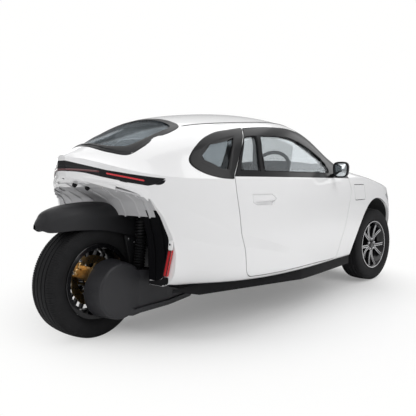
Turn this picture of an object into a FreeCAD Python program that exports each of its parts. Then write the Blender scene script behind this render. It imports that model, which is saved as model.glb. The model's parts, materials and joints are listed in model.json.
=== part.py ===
"""Three wheeled car: two steered front wheels, one driven rear wheel on a single-sided swing arm.

The frame has +X forward, +Y to the car's left, +Z up, and its origin on the ground under the
middle of the car. Everything is laid out from the rear axle's line on the ground, and each
sub-part's Placement carries that line to its place in the frame.
"""
import FreeCAD, Part
import math
import os
import Sketcher
from FreeCAD import Placement, Rotation, Vector

doc = FreeCAD.newDocument("three_wheeled_car")

# ---------------------------------------------------------------- driving dimensions, millimetres
SIZES = (
    ("wheelbase", 2440),
    ("body_width", 1604),
    ("roof_height", 1325),
    ("tail_reach", 331),
    ("track", 1380),
    ("tyre_radius", 311),
    ("tyre_width", 185),
    ("bead_radius", 191),
    ("flange_radius", 207),
    ("hub_radius", 34),
    ("spindle_radius", 18),
    ("disc_radius", 140),
    ("steer_at_rest", 9),
    ("kingpin_half", 590),
    ("arch_reach", 214),
    ("arch_back", 17),
    ("arch_drop", 119),
    ("skin", 26),
    ("glass_inset", 5),
    ("glass_wall", 6),
    ("gap", 5),
    ("tunnel_half", 300),
    ("liner_wall", 8),
    ("seat_width", 440),
    ("seat_length", 480),
    ("seat_place", 310),
    ("cushion_bottom", 470),
    ("cushion_height", 120),
    ("back_height", 560),
    ("back_wall", 110),
    ("arm_inner", 112),
    ("arm_outer", 246),
    ("arm_flare", 286),
    ("arm_pivot_x", 560),
    ("arm_pivot_z", 262),
    ("guard_half_width", 118),
    ("guard_wall", 6),
    ("kingpin_radius", 10),
)
sheet = doc.addObject("Spreadsheet::Sheet", "car")
for number, (alias, value) in enumerate(SIZES, start=1):
    sheet.set(f"A{number}", alias)
    sheet.set(f"B{number}", str(value))
    sheet.setAlias(f"B{number}", alias)
doc.recompute()


def size(alias):
    """Value of a cell of the sheet."""
    return float(sheet.get(alias))


# The nose is this many wheelbases ahead of the rear axle.
NOSE = 1.275
REAR_AXLE = f"(car.tail_reach - {NOSE} * car.wheelbase) / 2"
NODES = []

# ---------------------------------------------------------------- body stations
# The outer skin runs through these cross-sections. Lengths along the car are in hundredths of the
# wheelbase ahead of the rear axle, half widths in hundredths of half the body width, and heights
# in hundredths of the roof height. Columns: place; sill height and half width; the side ledge's
# lower edge, height and half width, and its upper edge; lean of the side at the ledge, degrees
# from upright; the belt line's height and half width; lean below and above the belt; the roof
# rail's height and half width; height on the centre line; wall below and above the belt,
# millimetres. The ledge is a facet that runs down along the doors and fades out before the arch.
STATIONS = (
    (-6.9, 22.6, 1.2, 50.0, 3.5, 56.0, 3.5, 0, 73.8, 4.0, 4, 66, 74.4, 2.5, 74.7, 25, 25),
    (-2.5, 22.6, 21.0, 48.0, 29.5, 57.0, 29.4, 0, 71.0, 28.2, 4, 62, 75.6, 15.0, 78.2, 25, 25),
    (4.9, 22.6, 47.5, 45.0, 57.8, 55.0, 57.2, -2, 66.5, 56.3, 4, 40, 78.5, 36.3, 84.5, 25, 25),
    (12.3, 22.6, 60.0, 39.8, 77.0, 49.6, 75.0, -4, 65.5, 73.8, 6, 31, 83.6, 50.0, 90.4, 60, 26),
    (20.5, 22.6, 77.5, 37.2, 88.6, 42.6, 87.2, -3, 65.6, 85.0, 9, 27, 88.0, 58.2, 95.0, 70, 30),
    (32.8, 21.9, 86.3, 32.8, 94.8, 36.2, 94.4, -6, 65.8, 91.9, 11, 25, 91.5, 65.0, 98.6, 70, 30),
    (47.1, 21.4, 90.0, 26.6, 93.9, 29.4, 94.7, -12, 66.0, 94.4, 12, 24, 93.2, 68.0, 99.9, 70, 30),
    (59.4, 21.1, 90.6, 25.4, 94.5, 28.4, 95.6, -13, 66.2, 95.6, 12, 26, 88.0, 70.0, 95.0, 70, 30),
    (71.7, 20.8, 90.6, 25.0, 94.7, 28.0, 95.8, -13, 66.8, 96.3, 12, 32, 77.4, 73.8, 83.5, 50, 28),
    (84.0, 20.4, 90.6, 25.0, 94.7, 28.0, 95.8, -13, 67.2, 95.6, 12, 45, 70.2, 80.0, 73.4, 26, 24),
    (100.4, 20.0, 90.6, 25.0, 94.7, 28.0, 95.8, -13, 64.2, 95.6, 12, 50, 67.2, 77.5, 70.4, 26, 24),
    (116.8, 19.6, 86.3, 24.8, 91.4, 27.8, 92.5, -12, 58.9, 91.9, 14, 50, 62.8, 70.0, 65.9, 26, 24),
    (124.2, 19.6, 70.0, 24.8, 76.2, 27.8, 77.0, -10, 52.0, 76.0, 20, 50, 55.8, 56.3, 58.4, 26, 24),
    (126.8, 20.2, 54.0, 25.2, 59.6, 28.2, 60.4, -8, 48.4, 58.0, 26, 52, 51.6, 42.0, 53.8, 26, 24),
    (127.5, 21.6, 36.0, 26.0, 40.4, 28.8, 41.2, -6, 44.6, 40.0, 32, 55, 47.0, 28.0, 48.8, 26, 24),
)


def along(share):
    """Distance ahead of the rear axle of a share of the wheelbase."""
    return share / 100 * size("wheelbase")


def across(share):
    """Distance from the centre line of a share of the body's half width."""
    return share / 200 * size("body_width")


def above(share):
    """Height of a share of the roof's height."""
    return share / 100 * size("roof_height")


def lean(degrees):
    """Unit direction up a right-hand side that leans inwards by an angle from upright."""
    return Vector(0, math.sin(math.radians(degrees)), math.cos(math.radians(degrees)))


def arc_from(start, direction, end):
    """Edge from start to end that leaves start in a direction: an arc, or a line if they agree."""
    chord = end - start
    unit = chord * (1 / chord.Length)
    side = direction - unit * direction.dot(unit)
    if side.Length < 1e-4:
        return Part.makeLine(start, end)
    half_turn = math.acos(max(-1.0, min(1.0, direction.dot(unit))))
    rise = side * (1 / side.Length) * (chord.Length / 2 * math.tan(half_turn / 2))
    return Part.Arc(start, (start + end) * 0.5 + rise, end).toShape()


def arc_pair(start, start_direction, end, end_direction):
    """Two arcs that meet smoothly, leaving start and reaching end in given directions."""
    chord = end - start
    both = start_direction + end_direction
    spread = 2 * (1 - start_direction.dot(end_direction))
    if spread < 1e-9:
        reach = chord.dot(chord) / (4 * chord.dot(end_direction))
    else:
        reach = math.sqrt(chord.dot(both) ** 2 + spread * chord.dot(chord))
        reach = (reach - chord.dot(both)) / spread
    middle = (start + end + (start_direction - end_direction) * reach) * 0.5
    first = arc_from(start, start_direction, middle)
    second = arc_from(end, end_direction * -1, middle)
    return [first, second]


def mirrored(shape):
    """The shape on the other side of the car."""
    return shape.mirror(Vector(0, 0, 0), Vector(0, 1, 0))


def section(row, lower_inset, upper_inset):
    """Closed cross-section at a station, moved inwards by an inset below and above the belt."""
    (place, sill_z, sill_y, low_z, low_y, high_z, high_y, lean_low, belt_z, belt_y, lean_in,
     lean_out, rail_z, rail_y, crown_z) = row[:15]
    rise = above(crown_z) - above(rail_z)
    rail_lean = 90 - 2 * math.degrees(math.atan2(rise, across(rail_y)))

    def inside(half_width, height, inset, degrees):
        """Point on the right-hand side, moved inwards square to the skin."""
        turn = math.radians(degrees)
        half_width = max(across(half_width) - inset * math.cos(turn), 2.0)
        return Vector(along(place), -half_width, above(height) - inset * math.sin(turn))

    floor_inset = min(lower_inset, size("skin"))
    sill = Vector(along(place), -max(across(sill_y) - lower_inset, 1.0), above(sill_z) + floor_inset)
    low = inside(low_y, low_z, lower_inset, 0)
    high = inside(high_y, high_z, lower_inset, 0)
    belt = inside(belt_y, belt_z, (lower_inset + upper_inset) / 2, (lean_in + lean_out) / 2)
    rail = inside(rail_y, rail_z, upper_inset, rail_lean)
    crown = Vector(along(place), 0, above(crown_z) - upper_inset)
    right = arc_pair(sill, lean(-80), low, lean(lean_low))
    right += [Part.makeLine(low, high)] + arc_pair(high, lean(lean_low), belt, lean(lean_in))
    right += arc_pair(belt, lean(lean_out), rail, lean(rail_lean))
    other_rail = Vector(rail.x, -rail.y, rail.z)
    other_sill = Vector(sill.x, -sill.y, sill.z)
    edges = right + [Part.Arc(rail, crown, other_rail).toShape()]
    edges += [mirrored(edge) for edge in right] + [Part.makeLine(other_sill, sill)]
    return Part.Wire(Part.__sortEdges__(edges))


def body_loft(insets, first=0, last=len(STATIONS)):
    """Solid through the stations, each moved inwards by the insets that a function gives it."""
    wires = [section(row, *insets(row)) for row in STATIONS[first:last]]
    return Part.makeLoft(wires, True, False)


def glass_insets(depth):
    """Insets of a surface a depth under the skin, for the panes."""
    return lambda row: (depth, depth)


outer = body_loft(lambda row: (0, 0))
cavity = body_loft(lambda row: row[15:], 1, len(STATIONS) - 1)
under_skin = body_loft(glass_insets(size("glass_inset")), 1)
under_pane = body_loft(glass_insets(size("glass_inset") + size("glass_wall")), 1)
pane = under_skin.cut(under_pane)
shell = outer.cut(cavity)
FAR = 1200.0


# ---------------------------------------------------------------- cutters
def outline(points, plane):
    """Closed wire through (u, v) points on the side, plan or axle plane.

    The axle plane is the side one in millimetres from the rear wheel's centre. A point may carry
    a third value, the bulge of the run that follows it: its arc's rise as a share of half its
    chord, positive to the left of the direction of travel.
    """
    place = {
        "side": lambda u, v: Vector(along(u), 0, above(v)),
        "plan": lambda u, v: Vector(along(u), across(v), 0),
        "axle": lambda u, v: Vector(u, 0, size("tyre_radius") + v),
    }[plane]
    normal = Vector(0, 0, 1) if plane == "plan" else Vector(0, 1, 0)
    edges = []
    for number, point in enumerate(points):
        start = place(*point[:2])
        end = place(*points[(number + 1) % len(points)][:2])
        if len(point) == 3:
            chord = end - start
            middle = (start + end) * 0.5 + chord.cross(normal) * (-point[2] / 2)
            edges.append(Part.Arc(start, middle, end).toShape())
        else:
            edges.append(Part.makeLine(start, end))
    return Part.Wire(edges)


def side_prism(points, start=0.0, end=-FAR, plane="side", grow=0.0):
    """Solid between two places across the car, from a side-view outline that may be grown."""
    wire = outline(points, plane)
    if grow:
        wire = wire.makeOffset2D(grow)
    face = Part.Face(wire)
    face.translate(Vector(0, start, 0))
    return face.extrude(Vector(0, end - start, 0))


def plan_prism(points, low=0.0, high=2000.0, grow=0.0):
    """Upright solid between two heights from a plan outline that may be grown."""
    wire = outline(points, "plan")
    if grow:
        wire = wire.makeOffset2D(grow)
    face = Part.Face(wire)
    face.translate(Vector(0, 0, low))
    return face.extrude(Vector(0, 0, high - low))


def leaning_prism(points, grow):
    """Solid through a plan outline at the belt's height that leans forwards as it rises."""
    wire = outline(points, "plan")
    if grow:
        wire = wire.makeOffset2D(grow)
    face = Part.Face(wire)
    face.translate(Vector(-0.2 * above(20), 0, above(48)))
    return face.extrude(Vector(0.2 * above(50), 0, above(50)))


def swung_prism(points, hinge, spread, grow):
    """Door-shaped cutter on the right side that widens outwards, away from the hinge's line.

    The side-view outline shrinks towards the hinge at an inner plane and grows away from it at an
    outer one by the spread, a share of the distance; grow moves it outwards all round.
    """
    wires = []
    for depth, share in ((across(40), 1 - spread), (across(130), 1 + spread)):
        wire = outline([(hinge + (point[0] - hinge) * share, *point[1:]) for point in points], "side")
        if grow:
            wire = wire.makeOffset2D(grow)
        wire.translate(Vector(0, -depth, 0))
        wires.append(wire)
    return Part.makeLoft(wires, True, True)


def keep(label, shape, at=(0, 0, 0), turn=0.0):
    """Put a shape in the document as a sub-part, placed from the rear axle's line."""
    feature = doc.addObject("Part::Feature", label)
    feature.Shape = shape
    feature.Label = label
    rear_axle = float(feature.evalExpression(REAR_AXLE))
    feature.Placement = Placement(Vector(rear_axle + at[0], at[1], at[2]),
                                  Rotation(Vector(0, 0, 1), turn))
    NODES.append(feature)
    return feature


# ---------------------------------------------------------------- body outlines
# Side view, hundredths of the wheelbase and of the roof height, then the bulge of the next run.
DOOR = (
    (18.4, 66.0), (18.6, 58.9), (19.8, 41.7), (21.2, 28.4, 0.4), (24.0, 24.6), (64.8, 22.6, 0.4),
    (67.0, 25.2), (67.4, 31.0), (70.9, 48.2), (74.2, 60.0), (73.4, 66.4), (71.6, 71.4),
    (67.6, 76.6), (58.1, 85.0, 0.12), (48.9, 89.4, 0.05), (40.4, 89.9, 0.03), (26.7, 87.6),
)
DOOR_HINGE = 74.2
BELT = 66.4
PANES = (
    ((20.8, 68.8), (27.0, 68.8), (30.1, 84.8), (25.8, 83.6)),
    ((28.2, 68.8), (60.0, 68.8, 0.4), (61.4, 71.6), (59.5, 76.0), (46.4, 84.2, 0.1), (38.6, 85.5),
     (31.3, 85.0)),
)
QUARTER = (
    (17.6, 66.4), (14.7, 66.4, 0.1), (10.8, 72.2, 0.35), (11.2, 74.2), (15.2, 80.8, 0.06),
    (19.1, 84.0, 0.02), (25.9, 87.2),
)
QUARTER_PANE = (
    (17.7, 69.4), (16.2, 69.4, 0.1), (13.2, 73.2, 0.3), (13.4, 74.8), (16.0, 79.4, 0.06),
    (22.6, 83.0),
)
WELL = (
    (-12.0, 10.0), (6.4, 10.0), (6.6, 36.0), (6.0, 42.6), (4.7, 50.6), (2.9, 57.6), (-0.8, 60.4),
    (-4.7, 64.2), (-7.5, 66.8), (-12.0, 67.2),
)
TUNNEL = (
    (-12.0, 5.0), (25.6, 5.0), (25.6, 27.5), (19.4, 38.0), (16.4, 54.0), (11.0, 60.2),
    (-12.0, 60.2),
)
HEADLAMP = (
    (109.6, 55.6), (113.0, 57.4), (118.0, 56.6), (123.4, 52.8), (124.6, 48.4), (122.0, 46.6),
    (114.0, 49.8),
)
HANDLE = ((22.8, 59.0), (29.2, 59.0), (30.6, 57.2), (29.0, 54.6), (24.0, 54.6), (22.8, 55.6))
HANDLE_SCOOP = ((23.4, 56.0), (30.0, 56.2), (28.9, 54.8), (24.1, 54.8))
FLAP = ((77.2, 54.8, 0.4), (77.8, 54.0), (86.4, 54.0, 0.4), (87.0, 54.8), (87.0, 61.8, 0.4),
        (86.4, 62.6), (77.8, 62.6, 0.4), (77.2, 61.8))
LAMP = (
    (-10.0, 75.2), (-6.3, 72.0), (-3.9, 69.9), (-0.8, 67.3), (2.7, 65.3), (5.2, 64.8, -0.5),
    (3.6, 63.2), (2.6, 62.7), (0.3, 63.8), (-2.9, 66.0), (-6.9, 69.4), (-10.0, 71.6),
)
TAIL = ((-20.0, 50.0), (5.6, 50.0), (5.6, 65.6), (2.6, 76.0), (2.6, 90.0), (-20.0, 90.0))
FENDER = (
    (66.0, 10.0), (66.0, 23.8), (67.4, 31.0), (70.9, 48.2), (74.2, 60.0), (73.4, 66.4),
    (86.0, 66.4), (90.0, 80.0), (119.0, 80.0), (119.0, 10.0),
)
NOSE_REGION = ((119.0, 5.0), (119.0, 80.0), (135.0, 80.0), (135.0, 5.0))
# Plan outlines, hundredths of the wheelbase and of the half width.
ROOF = (
    (14.4, -46.0, -0.02), (32.7, -63.4, -0.05), (45.9, -68.6, -0.06), (58.0, -64.0, -0.08),
    (58.0, 64.0, -0.06), (45.9, 68.6, -0.05), (32.7, 63.4, -0.02), (14.4, 46.0, 0.1),
)
REAR_GLASS = ((2.4, -33.0), (14.6, -40.0, -0.12), (14.6, 40.0), (2.4, 33.0, -0.34))
WINDSCREEN = ((58.4, -62.0), (76.0, -78.0, -0.22), (76.0, 78.0), (58.4, 62.0, 0.1))
BONNET = ((85.0, -70.0), (110.0, -64.0), (118.4, -52.0, -0.14), (118.4, 52.0), (110.0, 64.0),
          (85.0, 70.0))
COWL = ((72.0, -92.0), (84.6, -76.0), (84.6, 76.0), (72.0, 92.0))
FLOOR = (
    (3.0, -30.0), (12.3, -52.0), (20.5, -70.0), (32.8, -79.0), (119.0, -79.0), (119.0, 79.0),
    (32.8, 79.0), (20.5, 70.0), (12.3, 52.0), (3.0, 30.0),
)

# ---------------------------------------------------------------- body panels
gap = size("gap")
floor_cut = plan_prism(FLOOR, 0, above(26.5))
# The door's foot ends a gap outside the floor's edge, so that it swings clear of the floor.
door_cut = swung_prism(DOOR, DOOR_HINGE, 0.06, 0.0).cut(plan_prism(FLOOR, 0, above(26.5), gap))
door_hole = swung_prism(DOOR, DOOR_HINGE, 0.06, gap).cut(floor_cut)
well = side_prism(WELL, FAR)


def arch_void(grow):
    """Room for a front wheel on each side: a drum over the axle and the space below its middle."""
    reach = size("tyre_radius") + size("arch_reach") + grow
    start = Vector(size("wheelbase") - size("arch_back"), -FAR, size("tyre_radius") - size("arch_drop"))
    drum = Part.makeCylinder(reach, 2 * FAR, start, Vector(0, 1, 0))
    return drum.fuse(Part.makeBox(2 * reach, 2 * FAR, start.z, Vector(start.x - reach, -FAR, 0)))


arch = arch_void(0.0)
middle = Part.makeBox(3 * size("wheelbase"), across(92), 2000, Vector(0, -across(46), 0))
tunnel_half = size("tunnel_half")
tunnel = side_prism(TUNNEL, tunnel_half, -tunnel_half)
void = well.fuse(tunnel)
skin = shell.cut([void, arch.cut(middle)])

both_doors = [door_hole, mirrored(door_hole)]
rear_glass_hole = plan_prism(REAR_GLASS, above(72), 2000)
windscreen_hole = plan_prism(WINDSCREEN, above(67), 2000)
glass_holes = [rear_glass_hole, windscreen_hole]
bonnet_cut = leaning_prism(BONNET, 0.0)
bonnet_hole = leaning_prism(BONNET, gap)
cowl_cut = plan_prism(COWL, above(66.4), 2000).cut(windscreen_hole)
roof_cut = plan_prism(ROOF, above(84), 2000).cut(glass_holes)
tail_cut = side_prism(TAIL, FAR)
lamp_cut = side_prism(LAMP, FAR)
nose_cut = side_prism(NOSE_REGION, FAR)

keep("rear_glass", pane.common(rear_glass_hole))
keep("windscreen", pane.common(windscreen_hole))
keep("roof_panel", skin.common(roof_cut).cut(both_doors))
keep("bonnet", skin.common(bonnet_cut))
keep("cowl_panel", skin.common(cowl_cut).cut([bonnet_hole, *both_doors]))
keep("floor_panel", skin.common(floor_cut).cut(nose_cut))
keep("tail_lamp", skin.common(lamp_cut))
keep("tail_panel", skin.common(tail_cut).cut([lamp_cut, rear_glass_hole]))
lamp_hole = side_prism(HEADLAMP, FAR)
# Slots of the lower intake. Columns: lower edge, share of the roof height; half length, share of
# the half width.
INTAKE = ((25.0, 24.0), (28.4, 27.0), (31.8, 24.0))
slots = []
for low, half_length in INTAKE:
    slot = Part.makeBox(along(12), 2 * across(half_length), above(2.4),
                        Vector(along(120), -across(half_length), above(low)))
    slots.append(slot.makeFillet(above(1.1), [edge for edge in slot.Edges
                                              if abs(edge.tangentAt(edge.FirstParameter).x) > 0.9]))
keep("front_bumper", skin.common(nose_cut).cut([bonnet_hole, lamp_hole, *slots]))
keep("headlamps", skin.common(lamp_hole).cut(bonnet_hole))

right_half = Part.makeBox(6000, 2000, 2000, Vector(-1500, -2000, 0))
side = skin.common(right_half)
door = side.common(door_cut)
side = side.cut([door_hole, *glass_holes, roof_cut, bonnet_hole, cowl_cut, floor_cut])
fender_cut = side_prism(FENDER)
quarter_cut = side_prism(QUARTER)
belt_box = Part.makeBox(6000, 2000, 2000, Vector(-1500, -2000, above(BELT)))
pane_cuts = [side_prism(points) for points in PANES]
quarter_pane_cut = side_prism(QUARTER_PANE)
groove = side_prism(HANDLE, grow=1.5).cut(side_prism(HANDLE, grow=-1.5))
handle_cuts = [groove.cut(under_skin), side_prism(HANDLE_SCOOP).cut(under_pane)]
right_panels = {
    "front_fender": side.common(fender_cut).cut(lamp_hole),
    "body_side": side.cut([fender_cut, tail_cut, nose_cut, quarter_cut]),
    "quarter_window_frames": side.common(quarter_cut).cut(quarter_pane_cut),
    "quarter_windows": pane.common(quarter_pane_cut).cut(door_hole),
    "door_panel": door.cut([belt_box, *handle_cuts]),
    "door_window_frame": door.common(belt_box).cut(pane_cuts),
    "door_glass": Part.makeCompound([pane.common(cut) for cut in pane_cuts]),
}
flap_hole = side_prism(FLAP, grow=gap)
PAIRED = ("quarter_window_frames", "quarter_windows")
for name, shape in right_panels.items():
    if name in PAIRED:
        keep(name, Part.makeCompound([shape, mirrored(shape)]))
    else:
        keep(f"{name}_right", shape.cut(flap_hole) if name == "front_fender" else shape)
        keep(f"{name}_left", mirrored(shape))
keep("charge_flap", side_prism(FLAP).common(outer).cut(under_pane))
socket_plate = Part.makeBox(along(13), across(100), above(12.5),
                            Vector(along(75.6), -across(184), above(52)))
socket = Part.makeCylinder(38, 60, Vector(along(82.1), -across(86), above(58.3)),
                           Vector(0, -1, 0)).common(under_pane)
keep("charge_socket", socket_plate.common(cavity).fuse(socket))

# ---------------------------------------------------------------- liners and bulkhead
wall = size("liner_wall")
grown_well = side_prism(WELL, FAR, grow=wall)
grown_tunnel = side_prism(TUNNEL, tunnel_half + wall, -tunnel_half - wall, grow=wall)
well_liner = grown_well.fuse(grown_tunnel).common(cavity).cut(void)
rib_depth = size("skin") / 3
well_ribs = well.cut([side_prism(WELL, FAR, grow=-rib_depth), tunnel])
rib_places = [sign * across(share) for share in (24, 34, 44, 53) for sign in (-1, 1)]
rib_slabs = [Part.makeBox(6 * FAR, wall / 2, 2 * FAR, Vector(-FAR, place - wall / 4, 0))
             for place in rib_places]
well_ribs = well_ribs.common(Part.makeCompound(rib_slabs)).common(cavity)
well_liner = well_liner.fuse(well_ribs)
keep("wheel_well_liner", well_liner)
arch_shell = arch_void(wall).cut(
    Part.makeBox(3 * size("wheelbase"), 2 * (across(46) - wall), 2000,
                 Vector(0, wall - across(46), 0)))
keep("front_arch_liners", arch_shell.common(cavity).cut(arch.cut(middle)))
bulkhead = Part.makeBox(12, 3000, 2000, Vector(along(75), -1500, 0))
keep("front_bulkhead", bulkhead.common(cavity).cut(arch_shell))

# ---------------------------------------------------------------- cabin
seat_x = along(32)
half = size("seat_width") / 2
seat_y = size("seat_place") - half
bottom = size("cushion_bottom")
cushion = Part.makeBox(size("seat_length"), 2 * half, size("cushion_height"),
                       Vector(seat_x, seat_y, bottom))
cushion = cushion.makeFillet(35, cushion.Edges)
keep("seat_cushions", Part.makeCompound([cushion, mirrored(cushion)]))
back = Part.makeBox(size("back_wall"), 2 * half, size("back_height"),
                    Vector(-size("back_wall"), seat_y, 0))
back = back.makeFillet(35, back.Edges)
back.rotate(Vector(0, 0, 0), Vector(0, 1, 0), -15)
back.translate(Vector(seat_x - 12, 0, bottom - 40))
back = back.cut(Part.makeBox(3000, 3000, bottom, Vector(0, -1500, 0)))
keep("seat_backs", Part.makeCompound([back, mirrored(back)]))
DASH = ((61.0, 52.0), (75.0, 52.0), (75.0, 69.0), (70.0, 71.5), (64.0, 70.5, 0.3), (60.0, 66.0))
dash = side_prism(DASH, across(78), -across(78))
# Centre screen: depth, width and height, its right edge and its foot's place, all millimetres but
# for its lean in degrees. It stands nearer the driver's side.
SCREEN = (14, 250, 150)
SCREEN_EDGE = -95
SCREEN_LEAN = 14
screen = Part.makeBox(*SCREEN, Vector(0, SCREEN_EDGE, 0))
screen.rotate(Vector(0, 0, 0), Vector(0, 1, 0), SCREEN_LEAN)
screen.translate(Vector(along(61.2), 0, above(65.4)))
keep("dashboard", dash.common(cavity).cut(pane).fuse(screen.common(cavity)))

# ---------------------------------------------------------------- undertray
TRAY = (
    (13.0, -47.0), (20.5, -66.0), (32.8, -77.0), (45.0, -83.0), (76.0, -84.5), (76.0, 84.5),
    (45.0, 83.0), (32.8, 77.0), (20.5, 66.0), (13.0, 47.0),
)
TRAY_SIDE = ((12.0, 19.4), (20.0, 17.8), (78.0, 15.8), (78.0, 30.0), (12.0, 30.0))
tray = plan_prism(TRAY, 0, 500).common(side_prism(TRAY_SIDE, FAR)).cut([outer, tunnel])
keep("undertray", tray)


# ---------------------------------------------------------------- parametric pieces
def origin_plane(body, role):
    """Origin plane of a body."""
    return next(item for item in body.Origin.OriginFeatures if item.Role == role)


def new_body(label, place, turn=0.0):
    """Body of its own sub-part, placed by three expressions and turned about the upright."""
    body = doc.addObject("PartDesign::Body", label)
    body.Label = label
    body.Placement = Placement(Vector(), Rotation(Vector(0, 0, 1), turn))
    for axis, text in zip("xyz", place):
        body.setExpression(f"Placement.Base.{axis}", text)
    NODES.append(body)
    return body


def profile(body, role, points, offset="0"):
    """Closed sketch through points whose two distances from the origin are expressions."""
    sketch = body.newObject("Sketcher::SketchObject", f"{body.Name}_profile")
    sketch.AttachmentSupport = [(origin_plane(body, role), "")]
    sketch.MapMode = "FlatFace"
    sketch.setExpression("AttachmentOffset.Base.z", offset)
    places = [[float(body.evalExpression(text)) for text in point] for point in points]
    corners = [Vector(*place, 0) for place in places]
    count = len(corners)
    for number in range(count):
        sketch.addGeometry(Part.LineSegment(corners[number], corners[(number + 1) % count]))
    for number in range(count):
        following = (number + 1) % count
        sketch.addConstraint(Sketcher.Constraint("Coincident", number, 2, following, 1))
    for number, point in enumerate(points):
        for kind, line, text, value in zip(("DistanceX", "DistanceY"), (-2, -1), point,
                                           places[number]):
            if abs(value) < 1e-6:
                sketch.addConstraint(Sketcher.Constraint("PointOnObject", number, 1, line))
            else:
                index = sketch.addConstraint(
                    Sketcher.Constraint(kind, -1, 1, number, 1, value))
                sketch.setExpression(f"Constraints[{index}]", text)
    return sketch


def revolve(body, points):
    """Turn a profile in the upright plane across the car about the body's Y axis."""
    sketch = profile(body, "YZ_Plane", points)
    feature = body.newObject("PartDesign::Revolution", f"{body.Name}_turned")
    feature.Profile = sketch
    feature.ReferenceAxis = (sketch, ["H_Axis"])
    feature.Angle = 360
    sketch.Visibility = False
    doc.recompute()
    return feature


def ring_of(body, points, offset, length, away, count):
    """Pad a profile in the wheel's plane, from an offset, and repeat it round the axle."""
    sketch = profile(body, "XZ_Plane", points, offset)
    pad = body.newObject("PartDesign::Pad", f"{body.Name}_spoke")
    pad.Profile = sketch
    pad.setExpression("Length", length)
    pad.Reversed = away
    doc.recompute()
    pattern = body.newObject("PartDesign::PolarPattern", f"{body.Name}_spokes")
    pattern.Originals = [pad]
    pattern.Axis = (sketch, ["N_Axis"])
    pattern.Angle = 360
    pattern.Occurrences = count
    body.Tip = pattern
    doc.recompute()
    return pattern


def outwards(points, sign):
    """Points whose first expression counts outwards from the wheel's middle."""
    return [(f"{sign} * ({across_text})", up_text) for across_text, up_text in points]


TYRE = (
    ("car.tyre_width / 2 - 17", "car.bead_radius + 0.2"),
    ("car.tyre_width / 2 - 17", "car.flange_radius"),
    ("car.tyre_width / 2 - 7", "car.flange_radius + 8"),
    ("car.tyre_width / 2", "car.flange_radius + 38"),
    ("car.tyre_width / 2 - 1", "car.tyre_radius - 46"),
    ("car.tyre_width / 2 - 10", "car.tyre_radius - 16"),
    ("car.tyre_width / 2 - 22", "car.tyre_radius - 5"),
    ("car.tyre_width / 2 - 45", "car.tyre_radius"),
)
TYRE_INSIDE = (
    ("car.tyre_width / 2 - 40", "car.tyre_radius - 14"),
    ("car.tyre_width / 2 - 20", "car.tyre_radius - 26"),
    ("car.tyre_width / 2 - 10", "car.flange_radius + 38"),
    ("car.tyre_width / 2 - 32", "car.bead_radius + 12"),
    ("car.tyre_width / 2 - 32", "car.bead_radius + 0.2"),
)
BARREL = (
    ("car.tyre_width / 2 - 10", "car.flange_radius - 1"),
    ("car.tyre_width / 2 - 17", "car.flange_radius - 1"),
    ("car.tyre_width / 2 - 17", "car.bead_radius"),
    ("17 - car.tyre_width / 2", "car.bead_radius"),
    ("17 - car.tyre_width / 2", "car.flange_radius - 1"),
    ("10 - car.tyre_width / 2", "car.flange_radius - 1"),
    ("10 - car.tyre_width / 2", "car.bead_radius - 10"),
    ("car.tyre_width / 2 - 34", "car.bead_radius - 16"),
    ("car.tyre_width / 2 - 10", "car.bead_radius - 8"),
)
HUB = (
    ("-12", "car.spindle_radius + 0.05"),
    ("-12", "car.hub_radius + 26"),
    ("44", "car.hub_radius + 26"),
    ("66", "car.hub_radius"),
    ("66", "0"),
    ("30", "0"),
    ("30", "car.spindle_radius + 0.05"),
)
# A pair of spokes: a V from the hub to the barrel, as distances across and up the wheel's plane.
SPOKE_PAIR = (
    ("-12", "car.hub_radius"), ("12", "car.hub_radius"),
    ("48", "car.bead_radius - 9"), ("26", "car.bead_radius - 6"),
    ("0", "car.hub_radius + 44"),
    ("-26", "car.bead_radius - 6"), ("-48", "car.bead_radius - 9"),
)
SPOKE_THIN = (
    ("-5", "car.hub_radius"), ("5", "car.hub_radius"),
    ("20", "car.bead_radius - 7"), ("12", "car.bead_radius - 6"),
    ("0", "car.hub_radius + 30"),
    ("-12", "car.bead_radius - 6"), ("-20", "car.bead_radius - 7"),
)
FRONT_AXLE = f"{REAR_AXLE} + car.wheelbase"
# Columns: wheel; place along the car and across it; sign outwards; turn at rest, a share of the
# steering angle; spoke profile; number of spoke profiles.
WHEELS = (
    ("front_{}_right", FRONT_AXLE, "-car.track / 2", -1, -1, SPOKE_PAIR, 5),
    ("front_{}_left", FRONT_AXLE, "car.track / 2", 1, -1, SPOKE_PAIR, 5),
    ("rear_{}", REAR_AXLE, "0", 1, 0, SPOKE_THIN, 9),
)


def steered(body_place, share):
    """Place of a wheel's middle after its turn about the kingpin, as two expressions."""
    along_text, across_text = body_place
    if not share:
        return along_text, across_text
    side_sign = "-1" if across_text.startswith("-") else "1"
    offset = f"{side_sign} * (car.track / 2 - car.kingpin_half)"
    turn = f"{share} * car.steer_at_rest * 1deg"
    return (f"{along_text} - ({offset}) * sin({turn})",
            f"{side_sign} * car.kingpin_half + ({offset}) * cos({turn})")


for name, along_text, across_text, sign, share, spoke, count in WHEELS:
    turn = share * size("steer_at_rest")
    along_text, across_text = steered((along_text, across_text), share)
    place = (along_text, across_text, "car.tyre_radius")
    tyre = new_body(name.format("tyre"), place, turn)
    half = list(TYRE)
    whole = half + [(f"-({u})", v) for u, v in reversed(half)]
    inside = [(f"-({u})", v) for u, v in reversed(TYRE_INSIDE)] + list(TYRE_INSIDE)
    revolve(tyre, whole + inside)
    rim = new_body(name.format("rim"), place, turn)
    revolve(rim, outwards(BARREL, sign))
    revolve(rim, outwards(HUB, sign))
    ring_of(rim, spoke, f"{-sign} * 42", "24", sign > 0, count)
    disc = new_body(name.format("brake_disc"), place, turn)
    revolve(disc, outwards((("-12", "30"), ("-12", "car.disc_radius"), ("-28", "car.disc_radius"),
                            ("-28", "30")), sign))

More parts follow.
